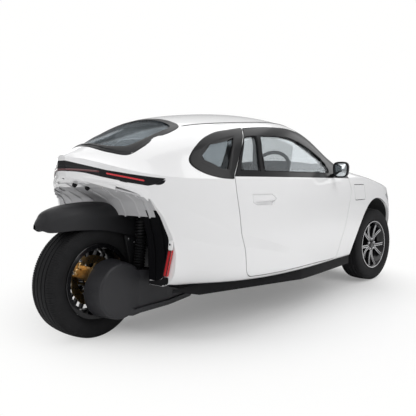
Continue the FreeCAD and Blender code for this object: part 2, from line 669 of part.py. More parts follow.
# ---------------------------------------------------------------- front suspension
def box(name, place, length, width, height):
    """Box whose place and sizes are expressions."""
    solid = doc.addObject("Part::Box", name)
    for axis, text in zip("xyz", place):
        solid.setExpression(f"Placement.Base.{axis}", text)
    solid.setExpression("Length", length)
    solid.setExpression("Width", width)
    solid.setExpression("Height", height)
    return solid


def rod(name, place, radius, height, turn=Rotation(Vector(1, 0, 0), -90)):
    """Cylinder whose place and sizes are expressions, pointing along Y unless it is turned."""
    solid = doc.addObject("Part::Cylinder", name)
    solid.Placement = Placement(Vector(), turn)
    for axis, text in zip("xyz", place):
        solid.setExpression(f"Placement.Base.{axis}", text)
    solid.setExpression("Radius", radius)
    solid.setExpression("Height", height)
    return solid


def joined(label, solids, place, turn=0.0):
    """Sub-part that is the sum of solids made about its own origin."""
    fuse = doc.addObject("Part::MultiFuse", label)
    fuse.Label = label
    fuse.Shapes = solids
    fuse.Placement = Placement(Vector(), Rotation(Vector(0, 0, 1), turn))
    for axis, text in zip("xyz", place):
        fuse.setExpression(f"Placement.Base.{axis}", text)
    NODES.append(fuse)
    return fuse


# Boxes of a knuckle from the kingpin's foot. Columns: start along the car, outwards and up;
# length, width and height.
KNUCKLE = (
    (-25, -18, -120, 50, 32, 260),
    (-155, 50, -45, 55, 16, 90),
    (-155, 94, -45, 55, 16, 90),
    (-158, 50, -45, 12, 60, 90),
    (-125, -8, -20, 105, 16, 40),
    (-125, 0, -20, 20, 55, 40),
    (-160, -18, -64, 140, 16, 14),
)
for side_name, sign in (("right", -1), ("left", 1)):
    solids = []
    for number, (start, out, up, length, width, height) in enumerate(KNUCKLE):
        near = out if sign > 0 else -out - width
        solids.append(box(f"knuckle_{side_name}_{number}",
                          (f"{start}", f"{near}", f"car.tyre_radius + ({up})"),
                          f"{length}", f"{width}", f"{height}"))
    spindle_start = "0" if sign > 0 else "car.kingpin_half - car.track / 2 - 28"
    solids.append(rod(f"spindle_{side_name}", ("0", spindle_start, "car.tyre_radius"),
                      "car.spindle_radius", "car.track / 2 - car.kingpin_half + 28"))
    solids.append(rod(f"kingpin_{side_name}", ("0", "0", "car.tyre_radius - 146"),
                      "car.kingpin_radius", "304", Rotation()))
    joined(f"front_knuckle_{side_name}", solids, (FRONT_AXLE, f"{sign} * car.kingpin_half", "0"),
           -size("steer_at_rest"))


def plate(points, low, high, at):
    """Flat plate between two heights through points in millimetres from a place."""
    corners = [Vector(at + u, v, low) for u, v in points]
    return Part.Face(Part.makePolygon(corners + corners[:1])).extrude(Vector(0, 0, high - low))


axle_z = size("tyre_radius")
front_x = size("wheelbase")
kingpin = size("kingpin_half")
wall_y = across(46)
LOWER_ARM = ((-150, wall_y - 60), (150, wall_y - 60), (28, kingpin + 16), (-28, kingpin + 16))
UPPER_ARM = ((-110, wall_y), (-72, wall_y), (0, kingpin - 70), (72, wall_y), (110, wall_y),
             (28, kingpin + 16), (-28, kingpin + 16))
pin_hole = Part.makeCylinder(size("kingpin_radius") + 0.3, 2 * axle_z, Vector(front_x, kingpin, 0))
lower_arm = plate(LOWER_ARM, axle_z - 146, axle_z - 120.5, front_x).cut(pin_hole)
upper_arm = plate(UPPER_ARM, axle_z + 140.5, axle_z + 158, front_x).cut(pin_hole)
keep("front_arms", Part.makeCompound([lower_arm, mirrored(lower_arm), upper_arm,
                                      mirrored(upper_arm)]))
# The damper leans inwards, and its spring's tower stays clear of the arch's inner wall.
ROD_RADIUS, TOWER_RADIUS = 20, 34
foot = Vector(front_x, wall_y + 100, axle_z - 121)
head = Vector(front_x, wall_y + 32, axle_z + 430)
rise = head - foot
damper = Part.makeCylinder(ROD_RADIUS, rise.Length, foot, rise)
tower = Part.makeCylinder(TOWER_RADIUS, rise.Length * 0.5, foot + rise * 0.42, rise)
damper = damper.fuse(tower).common(arch).cut(lower_arm)
keep("front_dampers", Part.makeCompound([damper, mirrored(damper)]))
subframe = Part.makeBox(320, 2 * (wall_y - 60), 130,
                        Vector(front_x - 160, 60 - wall_y, axle_z - 146))
keep("front_subframe", subframe.cut(outer))

# ---------------------------------------------------------------- rear suspension
ARM = (
    (25.0, 112.0, 0.1), (120.0, 62.0), (300.0, 40.0), (470.0, 8.0), (600.0, -14.0), (606.0, -70.0),
    (520.0, -152.0), (92.0, -182.0), (0.0, -160.0),
)
# The arm widens outwards from the wheel to its pivot: its plan, in millimetres from the axle.
arm_in = -size("arm_inner")
arm_out = -size("arm_outer")
arm_flare = -size("arm_flare")
ARM_PLAN = ((-200.0, arm_in), (700.0, arm_in), (700.0, arm_flare), (330.0, arm_flare),
            (150.0, arm_out), (-200.0, arm_out))
RECESS = (
    (52.0, -72.0, -0.42), (120.0, 6.0), (300.0, -6.0), (470.0, -34.0), (560.0, -52.0),
    (500.0, -128.0), (110.0, -152.0, -0.3),
)
arm = side_prism(ARM, 0.0, -FAR, "axle").common(plate(ARM_PLAN, 0.0, 900.0, 0.0))
recess = side_prism(RECESS, 0.0, -FAR, "axle").cut(plate(
    [(u, v + 14.0) for u, v in ARM_PLAN[2:]] + [(-200.0, 0.0), (700.0, 0.0)], 0.0, 900.0, 0.0))
# Round cover on the arm, ahead of and below the axle: radii at its foot and face, its rounding, and
# how far its foot stands outside the arm's inner face.
COVER_RADII = (160, 148)
COVER_ROUND = 14
COVER_STEP = 14
cover_middle = Vector(25, arm_in - COVER_STEP, axle_z - 35)
disc_cover = Part.makeCone(*COVER_RADII, cover_middle.y - arm_out, cover_middle, Vector(0, -1, 0))
disc_cover = disc_cover.makeFillet(COVER_ROUND, [edge for edge in disc_cover.Edges
                                        if abs(edge.CenterOfMass.y - arm_out) < 1])
spindle = Part.makeCylinder(size("spindle_radius"), 28 - arm_out, Vector(0, arm_out + 1, axle_z),
                            Vector(0, 1, 0))
pivot = Vector(size("arm_pivot_x"), arm_out, size("arm_pivot_z"))
PIVOT_RADIUS, PIVOT_LENGTH = 28, 380
pivot_tube = Part.makeCylinder(PIVOT_RADIUS, PIVOT_LENGTH, pivot, Vector(0, 1, 0))
swing_arm = arm.fuse(disc_cover).cut(recess).fuse([spindle, pivot_tube])
keep("swing_arm", swing_arm)
lugs = [Part.makeBox(110, 40, 200, Vector(pivot.x - 55, lug_y, pivot.z - 36))
        for lug_y in (-90, 60)]
lugs = lugs[0].fuse(lugs[1]).common(tunnel).cut(pivot_tube)
keep("swing_arm_mount", lugs)
# Cross-sections of the mudguard. Columns: distance ahead of the axle; half width, share of the
# widest; heights of its lower edge, of its side crease and of its top, above the axle; half width
# of its flat top, share of the section's half width.
GUARD = (
    (-size("tail_reach"), 0.10, 308, 316, 330, 0.6),
    (-264, 0.56, 286, 306, 396, 0.6),
    (-150, 0.92, 293, 344, 423, 0.6),
    (20, 1.0, 281, 357, 433, 0.62),
    (180, 1.0, 241, 330, 412, 0.62),
    (320, 1.0, 165, 262, 352, 0.62),
)


def guard_section(row, inset, drop):
    """Closed arch-shaped section, its walls moved inwards and its lower edge dropped."""
    ahead, share, low, crease, top, flat = row
    half_width = share * size("guard_half_width") - inset
    corners = [
        Vector(ahead, -half_width, axle_z + low - drop),
        Vector(ahead, -half_width, axle_z + crease - inset / 2),
        Vector(ahead, -half_width * flat, axle_z + top - (top - crease) / 8 - inset),
    ]
    crown = Vector(ahead, 0, axle_z + top - inset)
    sides = [Part.makeLine(corners[0], corners[1]), Part.makeLine(corners[1], corners[2])]
    other = [mirrored(edge) for edge in sides]
    over = Part.Arc(corners[2], crown, Vector(ahead, -corners[2].y, corners[2].z)).toShape()
    under = Part.makeLine(Vector(ahead, -corners[0].y, corners[0].z), corners[0])
    return Part.Wire(Part.__sortEdges__([*sides, over, *other, under]))


guard_wall = size("guard_wall")
guard_half = size("guard_half_width")
guard = Part.makeLoft([guard_section(row, 0, 0) for row in GUARD], True, False)
guard_room = Part.makeLoft([guard_section(row, guard_wall, 60) for row in GUARD[1:]], True, False)
guard = guard.cut(guard_room)
STRUT = ((150.0, 250.0), (235.0, 222.0), (262.0, 10.0), (196.0, 10.0))
strut = side_prism(STRUT, -guard_half + guard_wall, -guard_half, "axle")
stay = side_prism(((196.0, 60.0), (262.0, 60.0), (262.0, 10.0), (196.0, 10.0)),
                  -guard_half + guard_wall, -guard_half - 14, "axle")
keep("rear_mudguard", guard.fuse([strut, stay]).cut(swing_arm))
foot = Vector(205, -170, axle_z + 30)
head = Vector(262, -170, axle_z + 560)
rise = head - foot
shock = Part.makeCylinder(15, rise.Length, foot, rise)
# Collars, bellows and spring on the rod. Columns: start and length, shares of the rod; radius, mm.
SHOCK = ((0.12, 0.03, 30), (0.13, 0.20, 20), (0.50, 0.03, 36), (0.55, 0.45, 24))
for start, length, radius in SHOCK:
    shock = shock.fuse(Part.makeCylinder(radius, rise.Length * length, foot + rise * start, rise))
keep("rear_shock", shock.common(void).cut(swing_arm))


def sector(inner, outer_radius, near, far, start, sweep):
    """Part of a ring about the rear axle between two places across the car.

    Angles are in degrees from straight back, turning upwards.
    """
    ring = Part.makeCylinder(outer_radius, far - near, Vector(), Vector(0, 0, 1), sweep)
    ring = ring.cut(Part.makeCylinder(inner, far - near, Vector(), Vector(0, 0, 1)))
    ring.rotate(Vector(), Vector(0, 0, 1), start)
    ring.rotate(Vector(), Vector(1, 0, 0), -90)
    return ring.mirror(Vector(), Vector(1, 0, 0)).mirror(Vector(), Vector(0, 0, 1)).translated(
        Vector(0, near, axle_z))


disc_radius = size("disc_radius")
caliper = sector(disc_radius - 44, disc_radius + 28, -52, 12, 18, 46)
groove = Part.makeCylinder(disc_radius + 6, 28, Vector(0, -34, axle_z), Vector(0, 1, 0))
carrier = sector(disc_radius - 44, disc_radius - 14, arm_in - 20, -45, 14, 34)
keep("rear_caliper", caliper.cut(groove).fuse(carrier).cut(swing_arm))

# ---------------------------------------------------------------- small pieces
battery = Part.makeBox(along(25), 2 * across(60), 400, Vector(along(26.2), -across(60), 200))
battery = battery.common(Part.makeBox(9000, 9000, size("cushion_bottom") - 0.3,
                                      Vector(-100, -4500, 0)))
keep("battery_pack", battery.common(cavity))
wheel_axis = Vector(-math.cos(math.radians(25)), 0, math.sin(math.radians(25)))
wheel_middle = Vector(along(57.4), -size("seat_place"), above(70.0))
steering_wheel = Part.makeTorus(165, 14, wheel_middle, wheel_axis)
steering_wheel = steering_wheel.fuse(
    Part.makeCylinder(46, 40, wheel_middle - wheel_axis * 34, wheel_axis))
for angle in (0, 120, 240):
    spoke = Part.makeBox(160, 26, 12, Vector(0, -13, -18))
    spoke.rotate(Vector(0, 0, 0), Vector(0, 0, 1), angle + 30)
    spoke.rotate(Vector(0, 0, 0), Vector(0, 1, 0), -65)
    spoke.translate(wheel_middle)
    steering_wheel = steering_wheel.fuse(spoke)
keep("steering_wheel", steering_wheel)
column = Part.makeCylinder(30, 260, wheel_middle - wheel_axis * 35, wheel_axis * -1)
keep("steering_column", column.cut(dash))
# Oval sections of a mirror's shell. Columns: place across, share of the half width; half length
# along the car and half height, millimetres; how far its middle lies ahead of the glass and above
# the shell's middle height, millimetres.
MIRROR = (
    (86.0, 20, 16, 34, -22), (93.0, 34, 34, 34, -8), (99.0, 44, 50, 34, 0), (106.0, 40, 48, 34, 4),
    (111.0, 16, 22, 30, 6),
)
mirror_x = along(60.4)
mirror_z = above(70.8)
ovals = []
for share, half_length, half_height, ahead, rise in MIRROR:
    oval = Part.Ellipse(Vector(), max(half_length, half_height), min(half_length, half_height))
    oval = Part.Wire(oval.toShape())
    if half_height > half_length:
        oval.rotate(Vector(), Vector(0, 0, 1), 90)
    oval.rotate(Vector(), Vector(1, 0, 0), 90)
    oval.translate(Vector(mirror_x + ahead, -across(share), mirror_z + rise))
    ovals.append(oval)
behind = Part.makeBox(400, 2000, 2000, Vector(mirror_x - 400, -2000, 0))
mirror = Part.makeLoft(ovals, True, False).cut([outer, behind])
MIRROR_PANE, PANE_DEPTH = 34, 6
mirror_face = Part.makeCylinder(MIRROR_PANE, PANE_DEPTH,
                                Vector(mirror_x - 2, -across(101.5), mirror_z + 1), Vector(1, 0, 0))
mirror_glass = mirror_face.cut(Part.makeBox(50, 2000, 2000, Vector(mirror_x + 2, -1900, 0)))
for name, shape in (("door_mirror", mirror.cut(mirror_face)), ("mirror_glass", mirror_glass)):
    keep(f"{name}_right", shape)
    keep(f"{name}_left", mirrored(shape))
# Upright reflector beside the wheel, leaning out as it rises: places across and heights.
REFLECTOR = ((-420, 358), (-446, 358), (-484, 500), (-458, 500))
reflector = Part.Face(Part.makePolygon([Vector(along(5.9), *place)
                                        for place in REFLECTOR + REFLECTOR[:1]]))
reflector = reflector.extrude(Vector(along(6.52) - along(5.9), 0, 0)).cut([skin, well_liner])
keep("rear_reflectors", Part.makeCompound([reflector, mirrored(reflector)]))

# ---------------------------------------------------------------- write
doc.recompute()
os.makedirs("parts", exist_ok=True)
for node in NODES:
    shape = node.Shape
    if "Invalid" in node.State or "Error" in node.State or shape.isNull() or not shape.isValid():
        raise RuntimeError(f"{node.Label} did not build: {node.State}")
    print(f"{node.Label}: {len(shape.Solids)} solids, {shape.Volume / 1e6:.3f} dm3, "
          f"{len(shape.Faces)} faces")
    shape.exportStep(f"parts/{node.Label}.step")
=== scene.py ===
"""Looks of a small white three wheeled car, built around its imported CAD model.

The frame has +X forward, +Y to the car's left and +Z up, in metres, with the floor at z = 0.
Lengthwise places count from the rear axle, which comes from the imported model's joints. Each
sub-assembly builds its meshes as numpy surfaces, trim is laid on the model's own faces by rays, and
each finish is a frozen dataclass that writes its own nodes.
"""

import itertools
import json
import logging
import math
from collections.abc import Callable, Sequence
from dataclasses import dataclass
from enum import Enum

import bmesh
import bpy
import numpy as np
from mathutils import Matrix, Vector
from mathutils.bvhtree import BVHTree


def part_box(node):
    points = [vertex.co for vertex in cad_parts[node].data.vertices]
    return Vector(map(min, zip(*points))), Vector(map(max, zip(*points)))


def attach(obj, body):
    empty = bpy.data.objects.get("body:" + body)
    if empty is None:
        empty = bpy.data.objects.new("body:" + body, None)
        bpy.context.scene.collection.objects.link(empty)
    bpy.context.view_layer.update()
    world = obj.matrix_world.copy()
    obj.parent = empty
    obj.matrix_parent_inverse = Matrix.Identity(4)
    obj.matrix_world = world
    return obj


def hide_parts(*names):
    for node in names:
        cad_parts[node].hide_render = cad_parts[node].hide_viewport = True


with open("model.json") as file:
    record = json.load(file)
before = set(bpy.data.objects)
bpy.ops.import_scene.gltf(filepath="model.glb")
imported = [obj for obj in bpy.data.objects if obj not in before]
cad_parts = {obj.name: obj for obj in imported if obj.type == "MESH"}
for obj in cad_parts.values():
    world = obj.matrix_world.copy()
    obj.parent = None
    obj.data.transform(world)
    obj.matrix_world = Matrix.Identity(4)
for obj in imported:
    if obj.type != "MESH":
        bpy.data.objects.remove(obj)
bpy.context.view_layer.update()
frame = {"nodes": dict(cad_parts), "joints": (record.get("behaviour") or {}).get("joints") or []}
LOG = logging.getLogger("three_wheeled_car")
Colour = tuple[float, float, float]
Place = tuple[float, float, float]
Outline = tuple[tuple[float, float], ...]
WHITE: Colour = (1.0, 1.0, 0.995)


# ------------------------------------------------------------------ names
class Side(Enum):
    """Side of the car, as the sign of Y."""

    RIGHT = -1
    LEFT = 1

    @property
    def word(self) -> str:
        """The side's word in the CAD's names."""
        return self.name.lower()


class Shading(Enum):
    """How a piece's faces are shaded."""

    SMOOTH = "smooth"
    CREASED = "creased"


# ------------------------------------------------------------------ material nodes
class Nodes:
    """A node tree, written node by node."""

    def __init__(self, tree: bpy.types.NodeTree) -> None:
        """Empty the tree.

        Args:
            tree: the tree of a material or of the world.
        """
        self.tree = tree
        tree.nodes.clear()

    def feed(self, target: bpy.types.NodeSocket, value: object) -> None:
        """Link another socket to a socket, or give it a constant.

        Args:
            target: the socket.
            value: a socket, a number, three numbers, or a colour without its alpha.
        """
        if isinstance(value, bpy.types.NodeSocket):
            self.tree.links.new(value, target)
        else:
            target.default_value = (*value, 1.0) if target.type == "RGBA" else value

    def fill(self, node: bpy.types.Node, inputs: dict[str | int, object]) -> None:
        """Feed a node's inputs, which go by name or number."""
        for name, value in inputs.items():
            self.feed(node.inputs[name], value)

    def node(self, kind: str, inputs: dict[str | int, object] | None = None,
             **settings: object) -> bpy.types.Node:
        """Add a node.

        Args:
            kind: the node's type.
            inputs: what feeds its inputs, by name or number.
            settings: attributes to set on it.

        Returns:
            The new node.
        """
        made = self.tree.nodes.new(kind)
        for name, value in settings.items():
            setattr(made, name, value)
        self.fill(made, inputs or {})
        return made

    def math(self, operation: str, first: object, second: object = 0.0) -> bpy.types.NodeSocket:
        """Combine two values, numbers or sockets, by one of Blender's operations."""
        return self.node("ShaderNodeMath", {0: first, 1: second}, operation=operation).outputs[0]

    def vector(self, operation: str, first: object, second: object) -> bpy.types.NodeSocket:
        """Combine two vectors into a number by one of Blender's operations."""
        made = self.node("ShaderNodeVectorMath", {0: first, 1: second}, operation=operation)
        return made.outputs["Value"]

    def blend(self, share: bpy.types.NodeSocket, first: bpy.types.Node,
              second: bpy.types.Node) -> bpy.types.NodeSocket:
        """Mix two shaders by the share of the second."""
        return self.node("ShaderNodeMixShader",
                         {0: share, 1: first.outputs[0], 2: second.outputs[0]}).outputs[0]


class Graph(Nodes):
    """Node tree of one material, written from its Principled shader backwards."""

    def __init__(self, name: str) -> None:
        """Make an empty material with a Principled shader on its output.

        Args:
            name: the material's name.
        """
        self.material = bpy.data.materials.new(name)
        self.material.use_nodes = True
        super().__init__(self.material.node_tree)
        self.output = self.node("ShaderNodeOutputMaterial")
        self.shader = self.node("ShaderNodeBsdfPrincipled")
        self.show(self.shader.outputs[0])
        self.coordinates = self.node("ShaderNodeTexCoord").outputs["Object"]

    def show(self, shader: bpy.types.NodeSocket) -> None:
        """Put a shader on the material's surface."""
        self.feed(self.output.inputs["Surface"], shader)

    def dress(self, **inputs: object) -> None:
        """Feed the Principled shader's inputs, their names written with underlines."""
        self.fill(self.shader, {name.replace("_", " "): value for name, value in inputs.items()})

    def noise(self, scale: float, detail: float = 3.0,
              roughness: float = 0.5) -> bpy.types.NodeSocket:
        """Noise between 0 and 1, read at the Object coordinates.

        Args:
            scale: features in a metre.
            detail: octaves.
            roughness: weight of the finer octaves.

        Returns:
            The factor's socket.
        """
        return self.node("ShaderNodeTexNoise", {
            "Vector": self.coordinates, "Scale": scale, "Detail": detail,
            "Roughness": roughness}).outputs["Fac"]

    def between(self, factor: object, low: float, high: float) -> bpy.types.NodeSocket:
        """Map a factor of 0 to 1 onto low to high."""
        return self.node("ShaderNodeMapRange",
                         {"Value": factor, "To Min": low, "To Max": high}).outputs["Result"]

    def step(self, value: object, start: float, end: float) -> bpy.types.NodeSocket:
        """Smooth step from 0 at the start to 1 at the end."""
        return self.node("ShaderNodeMapRange",
                         {"Value": value, "From Min": start, "From Max": end},
                         interpolation_type="SMOOTHSTEP").outputs["Result"]

    def mix(self, factor: object, first: object, second: object) -> bpy.types.NodeSocket:
        """Mix two colours.

        Args:
            factor: share of the second, a number or a socket.
            first: a colour or a socket.
            second: a colour or a socket.

        Returns:
            The colour's socket.
        """
        return self.node("ShaderNodeMix", {0: factor, 6: first, 7: second},
                         data_type="RGBA").outputs[2]

    def bump(self, height: bpy.types.NodeSocket, distance: float, strength: float = 1.0) -> None:
        """Put a bump on the shader, over any that it has already.

        Args:
            height: height between 0 and 1.
            distance: metres from 0 to 1.
            strength: share of the effect.
        """
        made = self.node("ShaderNodeBump", {"Distance": distance, "Strength": strength,
                                            "Height": height})
        normal = self.shader.inputs["Normal"]
        if normal.links:
            self.feed(made.inputs["Normal"], normal.links[0].from_socket)
        self.feed(normal, made.outputs[0])


@dataclass(frozen=True)
class Finish:
    """A finish with a fine grain: colour, roughness and height vary together with noise.

    Attributes:
        name: the material's name.
        slot: the record's slot that it belongs to; not used by this script.
        colour: its main colour.
        roughness: its mean roughness.
        metallic: 1 for bare metal.
        coat: weight of a clear coat.
        grain: features of the grain in a metre.
        grain_depth: height of the grain in metres.
        swing: how far roughness and colour vary, as a share.
        specular: the shader's specular level.
    """

    name: str
    slot: str
    colour: Colour
    roughness: float = 0.45
    metallic: float = 0.0
    coat: float = 0.0
    grain: float = 600.0
    grain_depth: float = 0.00008
    swing: float = 0.12
    specular: float = 0.5

    def made(self) -> bpy.types.Material:
        """The finish's material, made on first use."""
        name = f"{self.name}_finish"
        found = bpy.data.materials.get(name)
        if found:
            return found
        graph = Graph(name)
        graph.dress(Metallic=self.metallic, Coat_Weight=self.coat, Coat_Roughness=0.04,
                    Specular_IOR_Level=self.specular, Base_Color=self.colour,
                    Roughness=self.roughness)
        self.write(graph)
        return graph.material

    def shades(self) -> tuple[Colour, Colour]:
        """The finish's darker and lighter colour."""
        return (tuple(part * (1 - self.swing) for part in self.colour),
                tuple(min(part * (1 + self.swing), 1.0) for part in self.colour))

    def write(self, graph: Graph) -> None:
        """Write the grain: cloudy colour, and noise for roughness and height."""
        clouds = graph.noise(9.0, 4.0)
        grain = graph.noise(self.grain, 2.0)
        low, high = self.roughness * (1 - self.swing), min(self.roughness * (1 + self.swing), 1.0)
        graph.dress(Base_Color=graph.mix(clouds, *self.shades()),
                    Roughness=graph.between(grain, low, high))
        if self.grain_depth:
            graph.bump(grain, self.grain_depth)


@dataclass(frozen=True)
class TwoToneWithShade(Finish):
    """A finish that turns to a second colour above a height: the split is real, and the second
    colour is white paint darkened to grey as painted shade.

    Attributes:
        upper: the second colour, white paint darkened to grey as painted shade.
        height: where it turns, metres over the ground.
    """

    # White paint darkened to mid grey: painted shade.
    upper: Colour = (0.52, 0.52, 0.53)
    height: float = 0.705

    def write(self, graph: Graph) -> None:
        """Write the two colours, the upper one painted shade, and a fine grain."""
        split = graph.node("ShaderNodeSeparateXYZ", {0: graph.coordinates})
        share = graph.step(split.outputs["Z"], self.height - 0.002, self.height + 0.002)
        graph.dress(Base_Color=graph.mix(share, self.colour, self.upper))
        graph.bump(graph.noise(self.grain, 2.0), self.grain_depth)


@dataclass(frozen=True)
class Paint(Finish):
    """Gloss paint: a solid colour under a clear coat with a faint orange peel."""

    def write(self, graph: Graph) -> None:
        """Write slow colour drift, and a broad shallow wave that only bends reflections."""
        drift = graph.noise(2.5, 2.0)
        fine = graph.noise(1800.0, 1.0)
        graph.dress(Base_Color=graph.mix(drift, *self.shades()),
                    Roughness=graph.between(fine, self.roughness * 0.9, self.roughness * 1.1))
        graph.bump(graph.noise(self.grain, 1.0), self.grain_depth, 0.5)


@dataclass(frozen=True)
class Glass(Finish):
    """Tinted window glass: a clear pane with a gloss over it that grows towards grazing views.

    Attributes:
        tint: share of the light that each pane lets through, by colour.
    """

    tint: Colour = (0.80, 0.84, 0.85)

    def write(self, graph: Graph) -> None:
        """Mix a gloss over a tinted transparent shader by Fresnel, thinned by a slow noise."""
        clear = graph.node("ShaderNodeBsdfTransparent", {"Color": self.tint})
        gloss = graph.node("ShaderNodeBsdfGlossy", {"Roughness": 0.02, "Color": (0.9, 0.93, 0.95)})
        edge = graph.node("ShaderNodeFresnel", {"IOR": 1.35}).outputs[0]
        film = graph.between(graph.noise(3.0, 3.0), 0.30, 0.40)
        graph.show(graph.blend(graph.math("MULTIPLY", edge, film), clear, gloss))
        graph.tree.nodes.remove(graph.shader)


@dataclass(frozen=True)
class Rubber(Finish):
    """Tyre rubber: dull, with a dusty bloom on it and fine moulding lines."""

    def write(self, graph: Graph) -> None:
        """Write blotches of bloom in colour, and a grain in roughness and height."""
        bloom = graph.noise(26.0, 5.0, 0.6)
        graph.dress(Base_Color=graph.mix(bloom, *self.shades()),
                    Roughness=graph.between(bloom, self.roughness - 0.08, self.roughness + 0.08))
        graph.bump(graph.noise(self.grain, 3.0), self.grain_depth)


@dataclass(frozen=True)
class Woven(Finish):
    """Woven cloth: two crossed waves of threads under a soft sheen."""

    def write(self, graph: Graph) -> None:
        """Write threads 2 mm apart along two directions, and mottled yarn colours."""
        graph.dress(Base_Color=graph.mix(graph.noise(180.0, 3.0), *self.shades()),
                    Sheen_Weight=0.25)
        waves = [graph.math("SINE", graph.vector("DOT_PRODUCT", graph.coordinates, direction))
                 for direction in ((2200.0, 2200.0, 0.0), (0.0, 2200.0, 2200.0))]
        threads = graph.math("MULTIPLY", graph.math("MULTIPLY", *waves), 0.5)
        graph.bump(graph.math("ADD", threads, 0.5), 0.0003, 0.7)


@dataclass(frozen=True)
class Lens(Finish):
    """Coloured lamp lens: gloss over a ribbed inside that glows faintly.

    Attributes:
        glow: strength of its own light.
        rib: distance between two ribs in metres.
    """

    glow: float = 0.0
    rib: float = 0.006

    def write(self, graph: Graph) -> None:
        """Write upright ribs across the car as height and as a change of brightness."""
        across = graph.vector("DOT_PRODUCT", graph.coordinates, (0.4, 1.0, 0.0))
        rib = graph.math("SINE", graph.math("MULTIPLY", across, 2 * math.pi / self.rib))
        level = graph.math("ADD", graph.math("MULTIPLY", rib, 0.5), 0.5)
        colour = graph.mix(level, *self.shades())
        graph.dress(Base_Color=colour)
        if self.glow:
            graph.dress(Emission_Color=colour, Emission_Strength=self.glow)
        graph.bump(level, 0.0004, 0.6)


WHITE_PAINT = Paint("white_paint", "white_paint", (0.87, 0.87, 0.875), 0.32, coat=1.0,
                    grain=260.0, grain_depth=0.00004, swing=0.006)
BLACK_TRIM = Finish("black_trim", "black_trim", (0.009, 0.009, 0.010), 0.6, grain=900.0,
                    grain_depth=0.00012, specular=0.15)
GUARD_PLASTIC = Finish("guard_plastic", "black_trim", (0.018, 0.018, 0.020), 0.5, grain=1100.0,
                       grain_depth=0.00006, specular=0.35)
GLOSS_BLACK = Paint("gloss_black", "gloss_black", (0.008, 0.008, 0.009), 0.3, coat=0.12,
                    grain=260.0, grain_depth=0.00003, swing=0.03, specular=0.2)
WINDOW_GLASS = Glass("window_glass", "window_glass", (0.9, 0.92, 0.93), tint=(0.94, 0.955, 0.96))
DARK_GLASS = Glass("dark_glass", "window_glass", (0.2, 0.2, 0.2), tint=(0.56, 0.59, 0.61))
TYRE_RUBBER = Rubber("tyre_rubber", "tyre_rubber", (0.018, 0.018, 0.019), 0.7, grain=700.0,
                     grain_depth=0.0001, swing=0.3, specular=0.12)
DARK_ALLOY = Finish("dark_alloy", "dark_alloy", (0.006, 0.006, 0.007), 0.2, coat=0.35, grain=500.0,
                    grain_depth=0.00002, specular=0.3)
BRIGHT_ALLOY = Finish("bright_alloy", "dark_alloy", (0.62, 0.62, 0.63), 0.24, 1.0, grain=1500.0,
                      grain_depth=0.00001)
DISC_STEEL = Finish("disc_steel", "disc_steel", (0.36, 0.36, 0.37), 0.32, 1.0, grain=900.0,
                    grain_depth=0.00003)
GOLD_ALLOY = Finish("gold_alloy", "gold_alloy", (0.56, 0.38, 0.18), 0.30, 1.0, grain=700.0,
                    grain_depth=0.00005)
LAMP_RED = Lens("lamp_red", "lamp_red", (0.55, 0.012, 0.018), 0.15, coat=1.0, swing=0.35)
LAMP_STRIP = Lens("lamp_strip", "lamp_red", (0.60, 0.022, 0.03), 0.2, coat=1.0, swing=0.12,
                  glow=0.08)
LAMP_DARK = Lens("lamp_dark", "lamp_red", (0.10, 0.012, 0.014), 0.2, coat=1.0, swing=0.3)
LAMP_CLEAR = Finish("lamp_clear", "lamp_clear", (0.30, 0.32, 0.33), 0.08, coat=1.0, grain=90.0,
                    grain_depth=0.0004)
CABIN_GREY = Finish("cabin_grey", "cabin_grey", (0.10, 0.105, 0.11), 0.6, grain=1000.0,
                    grain_depth=0.00015)
SEAT_CLOTH = Woven("seat_cloth", "seat_cloth", (0.13, 0.135, 0.14), 0.85, swing=0.2)
MIRROR_FACE = Finish("mirror_face", "mirror_face", (0.66, 0.70, 0.72), 0.03, 1.0, grain=20.0,
                     grain_depth=0.0, swing=0.02)
BLACK_STEEL = Finish("black_steel", "black_steel", (0.03, 0.03, 0.032), 0.4, 0.6, grain=500.0,
                     grain_depth=0.00005)
BATTERY_CASE = Finish("battery_case", "battery_case", (0.05, 0.052, 0.056), 0.5, grain=300.0)
CHARCOAL_COVER = Finish("charcoal_cover", "charcoal_cover", (0.026, 0.026, 0.029), 0.42,
                        grain=1100.0, grain_depth=0.00006, specular=0.35)
# The well liner: black below 0.705 m, and above it white paint made grey as painted shade.
WELL_LINER = TwoToneWithShade("well_liner", "black_trim", (0.004, 0.004, 0.005), 0.8, grain=400.0,
                     specular=0.08)
# White paint made mid grey: painted shade in the recess over the rear wheel.
RECESS_SHADED_WHITE = Finish("recess_grey", "white_paint", (0.52, 0.52, 0.53), 0.55, grain=700.0,
                     grain_depth=0.0001, swing=0.04, specular=0.3)

# CAD nodes by finish. A name without its side stands for both.
DRESS: dict[Finish, tuple[str, ...]] = {
    WHITE_PAINT: ("body_side", "bonnet", "charge_flap", "door_panel", "front_bumper",
                  "front_fender", "roof_panel", "tail_panel"),
    GLOSS_BLACK: ("door_window_frame", "quarter_window_frames", "door_mirror", "tail_lamp",
                  "cowl_panel"),
    BLACK_TRIM: ("undertray", "charge_socket", "front_arch_liners", "floor_panel"),
    WELL_LINER: ("wheel_well_liner",),
    GUARD_PLASTIC: ("rear_mudguard",),
    WINDOW_GLASS: ("door_glass", "windscreen"),
    DARK_GLASS: ("quarter_windows", "rear_glass"),
    TYRE_RUBBER: ("front_tyre", "rear_tyre"),
    BRIGHT_ALLOY: ("front_rim",),
    DARK_ALLOY: ("rear_rim",),
    DISC_STEEL: ("front_brake_disc",),
    GOLD_ALLOY: ("rear_brake_disc", "rear_caliper"),
    LAMP_RED: ("rear_reflectors",),
    LAMP_CLEAR: ("headlamps",),
    CABIN_GREY: ("dashboard", "front_bulkhead", "steering_wheel", "steering_column"),
    SEAT_CLOTH: ("seat_backs", "seat_cushions"),
    MIRROR_FACE: ("mirror_glass",),
    BLACK_STEEL: ("front_arms", "front_dampers", "front_knuckle", "front_subframe", "rear_shock",
                  "swing_arm_mount"),
    BATTERY_CASE: ("battery_pack",),
    CHARCOAL_COVER: ("swing_arm",),
}


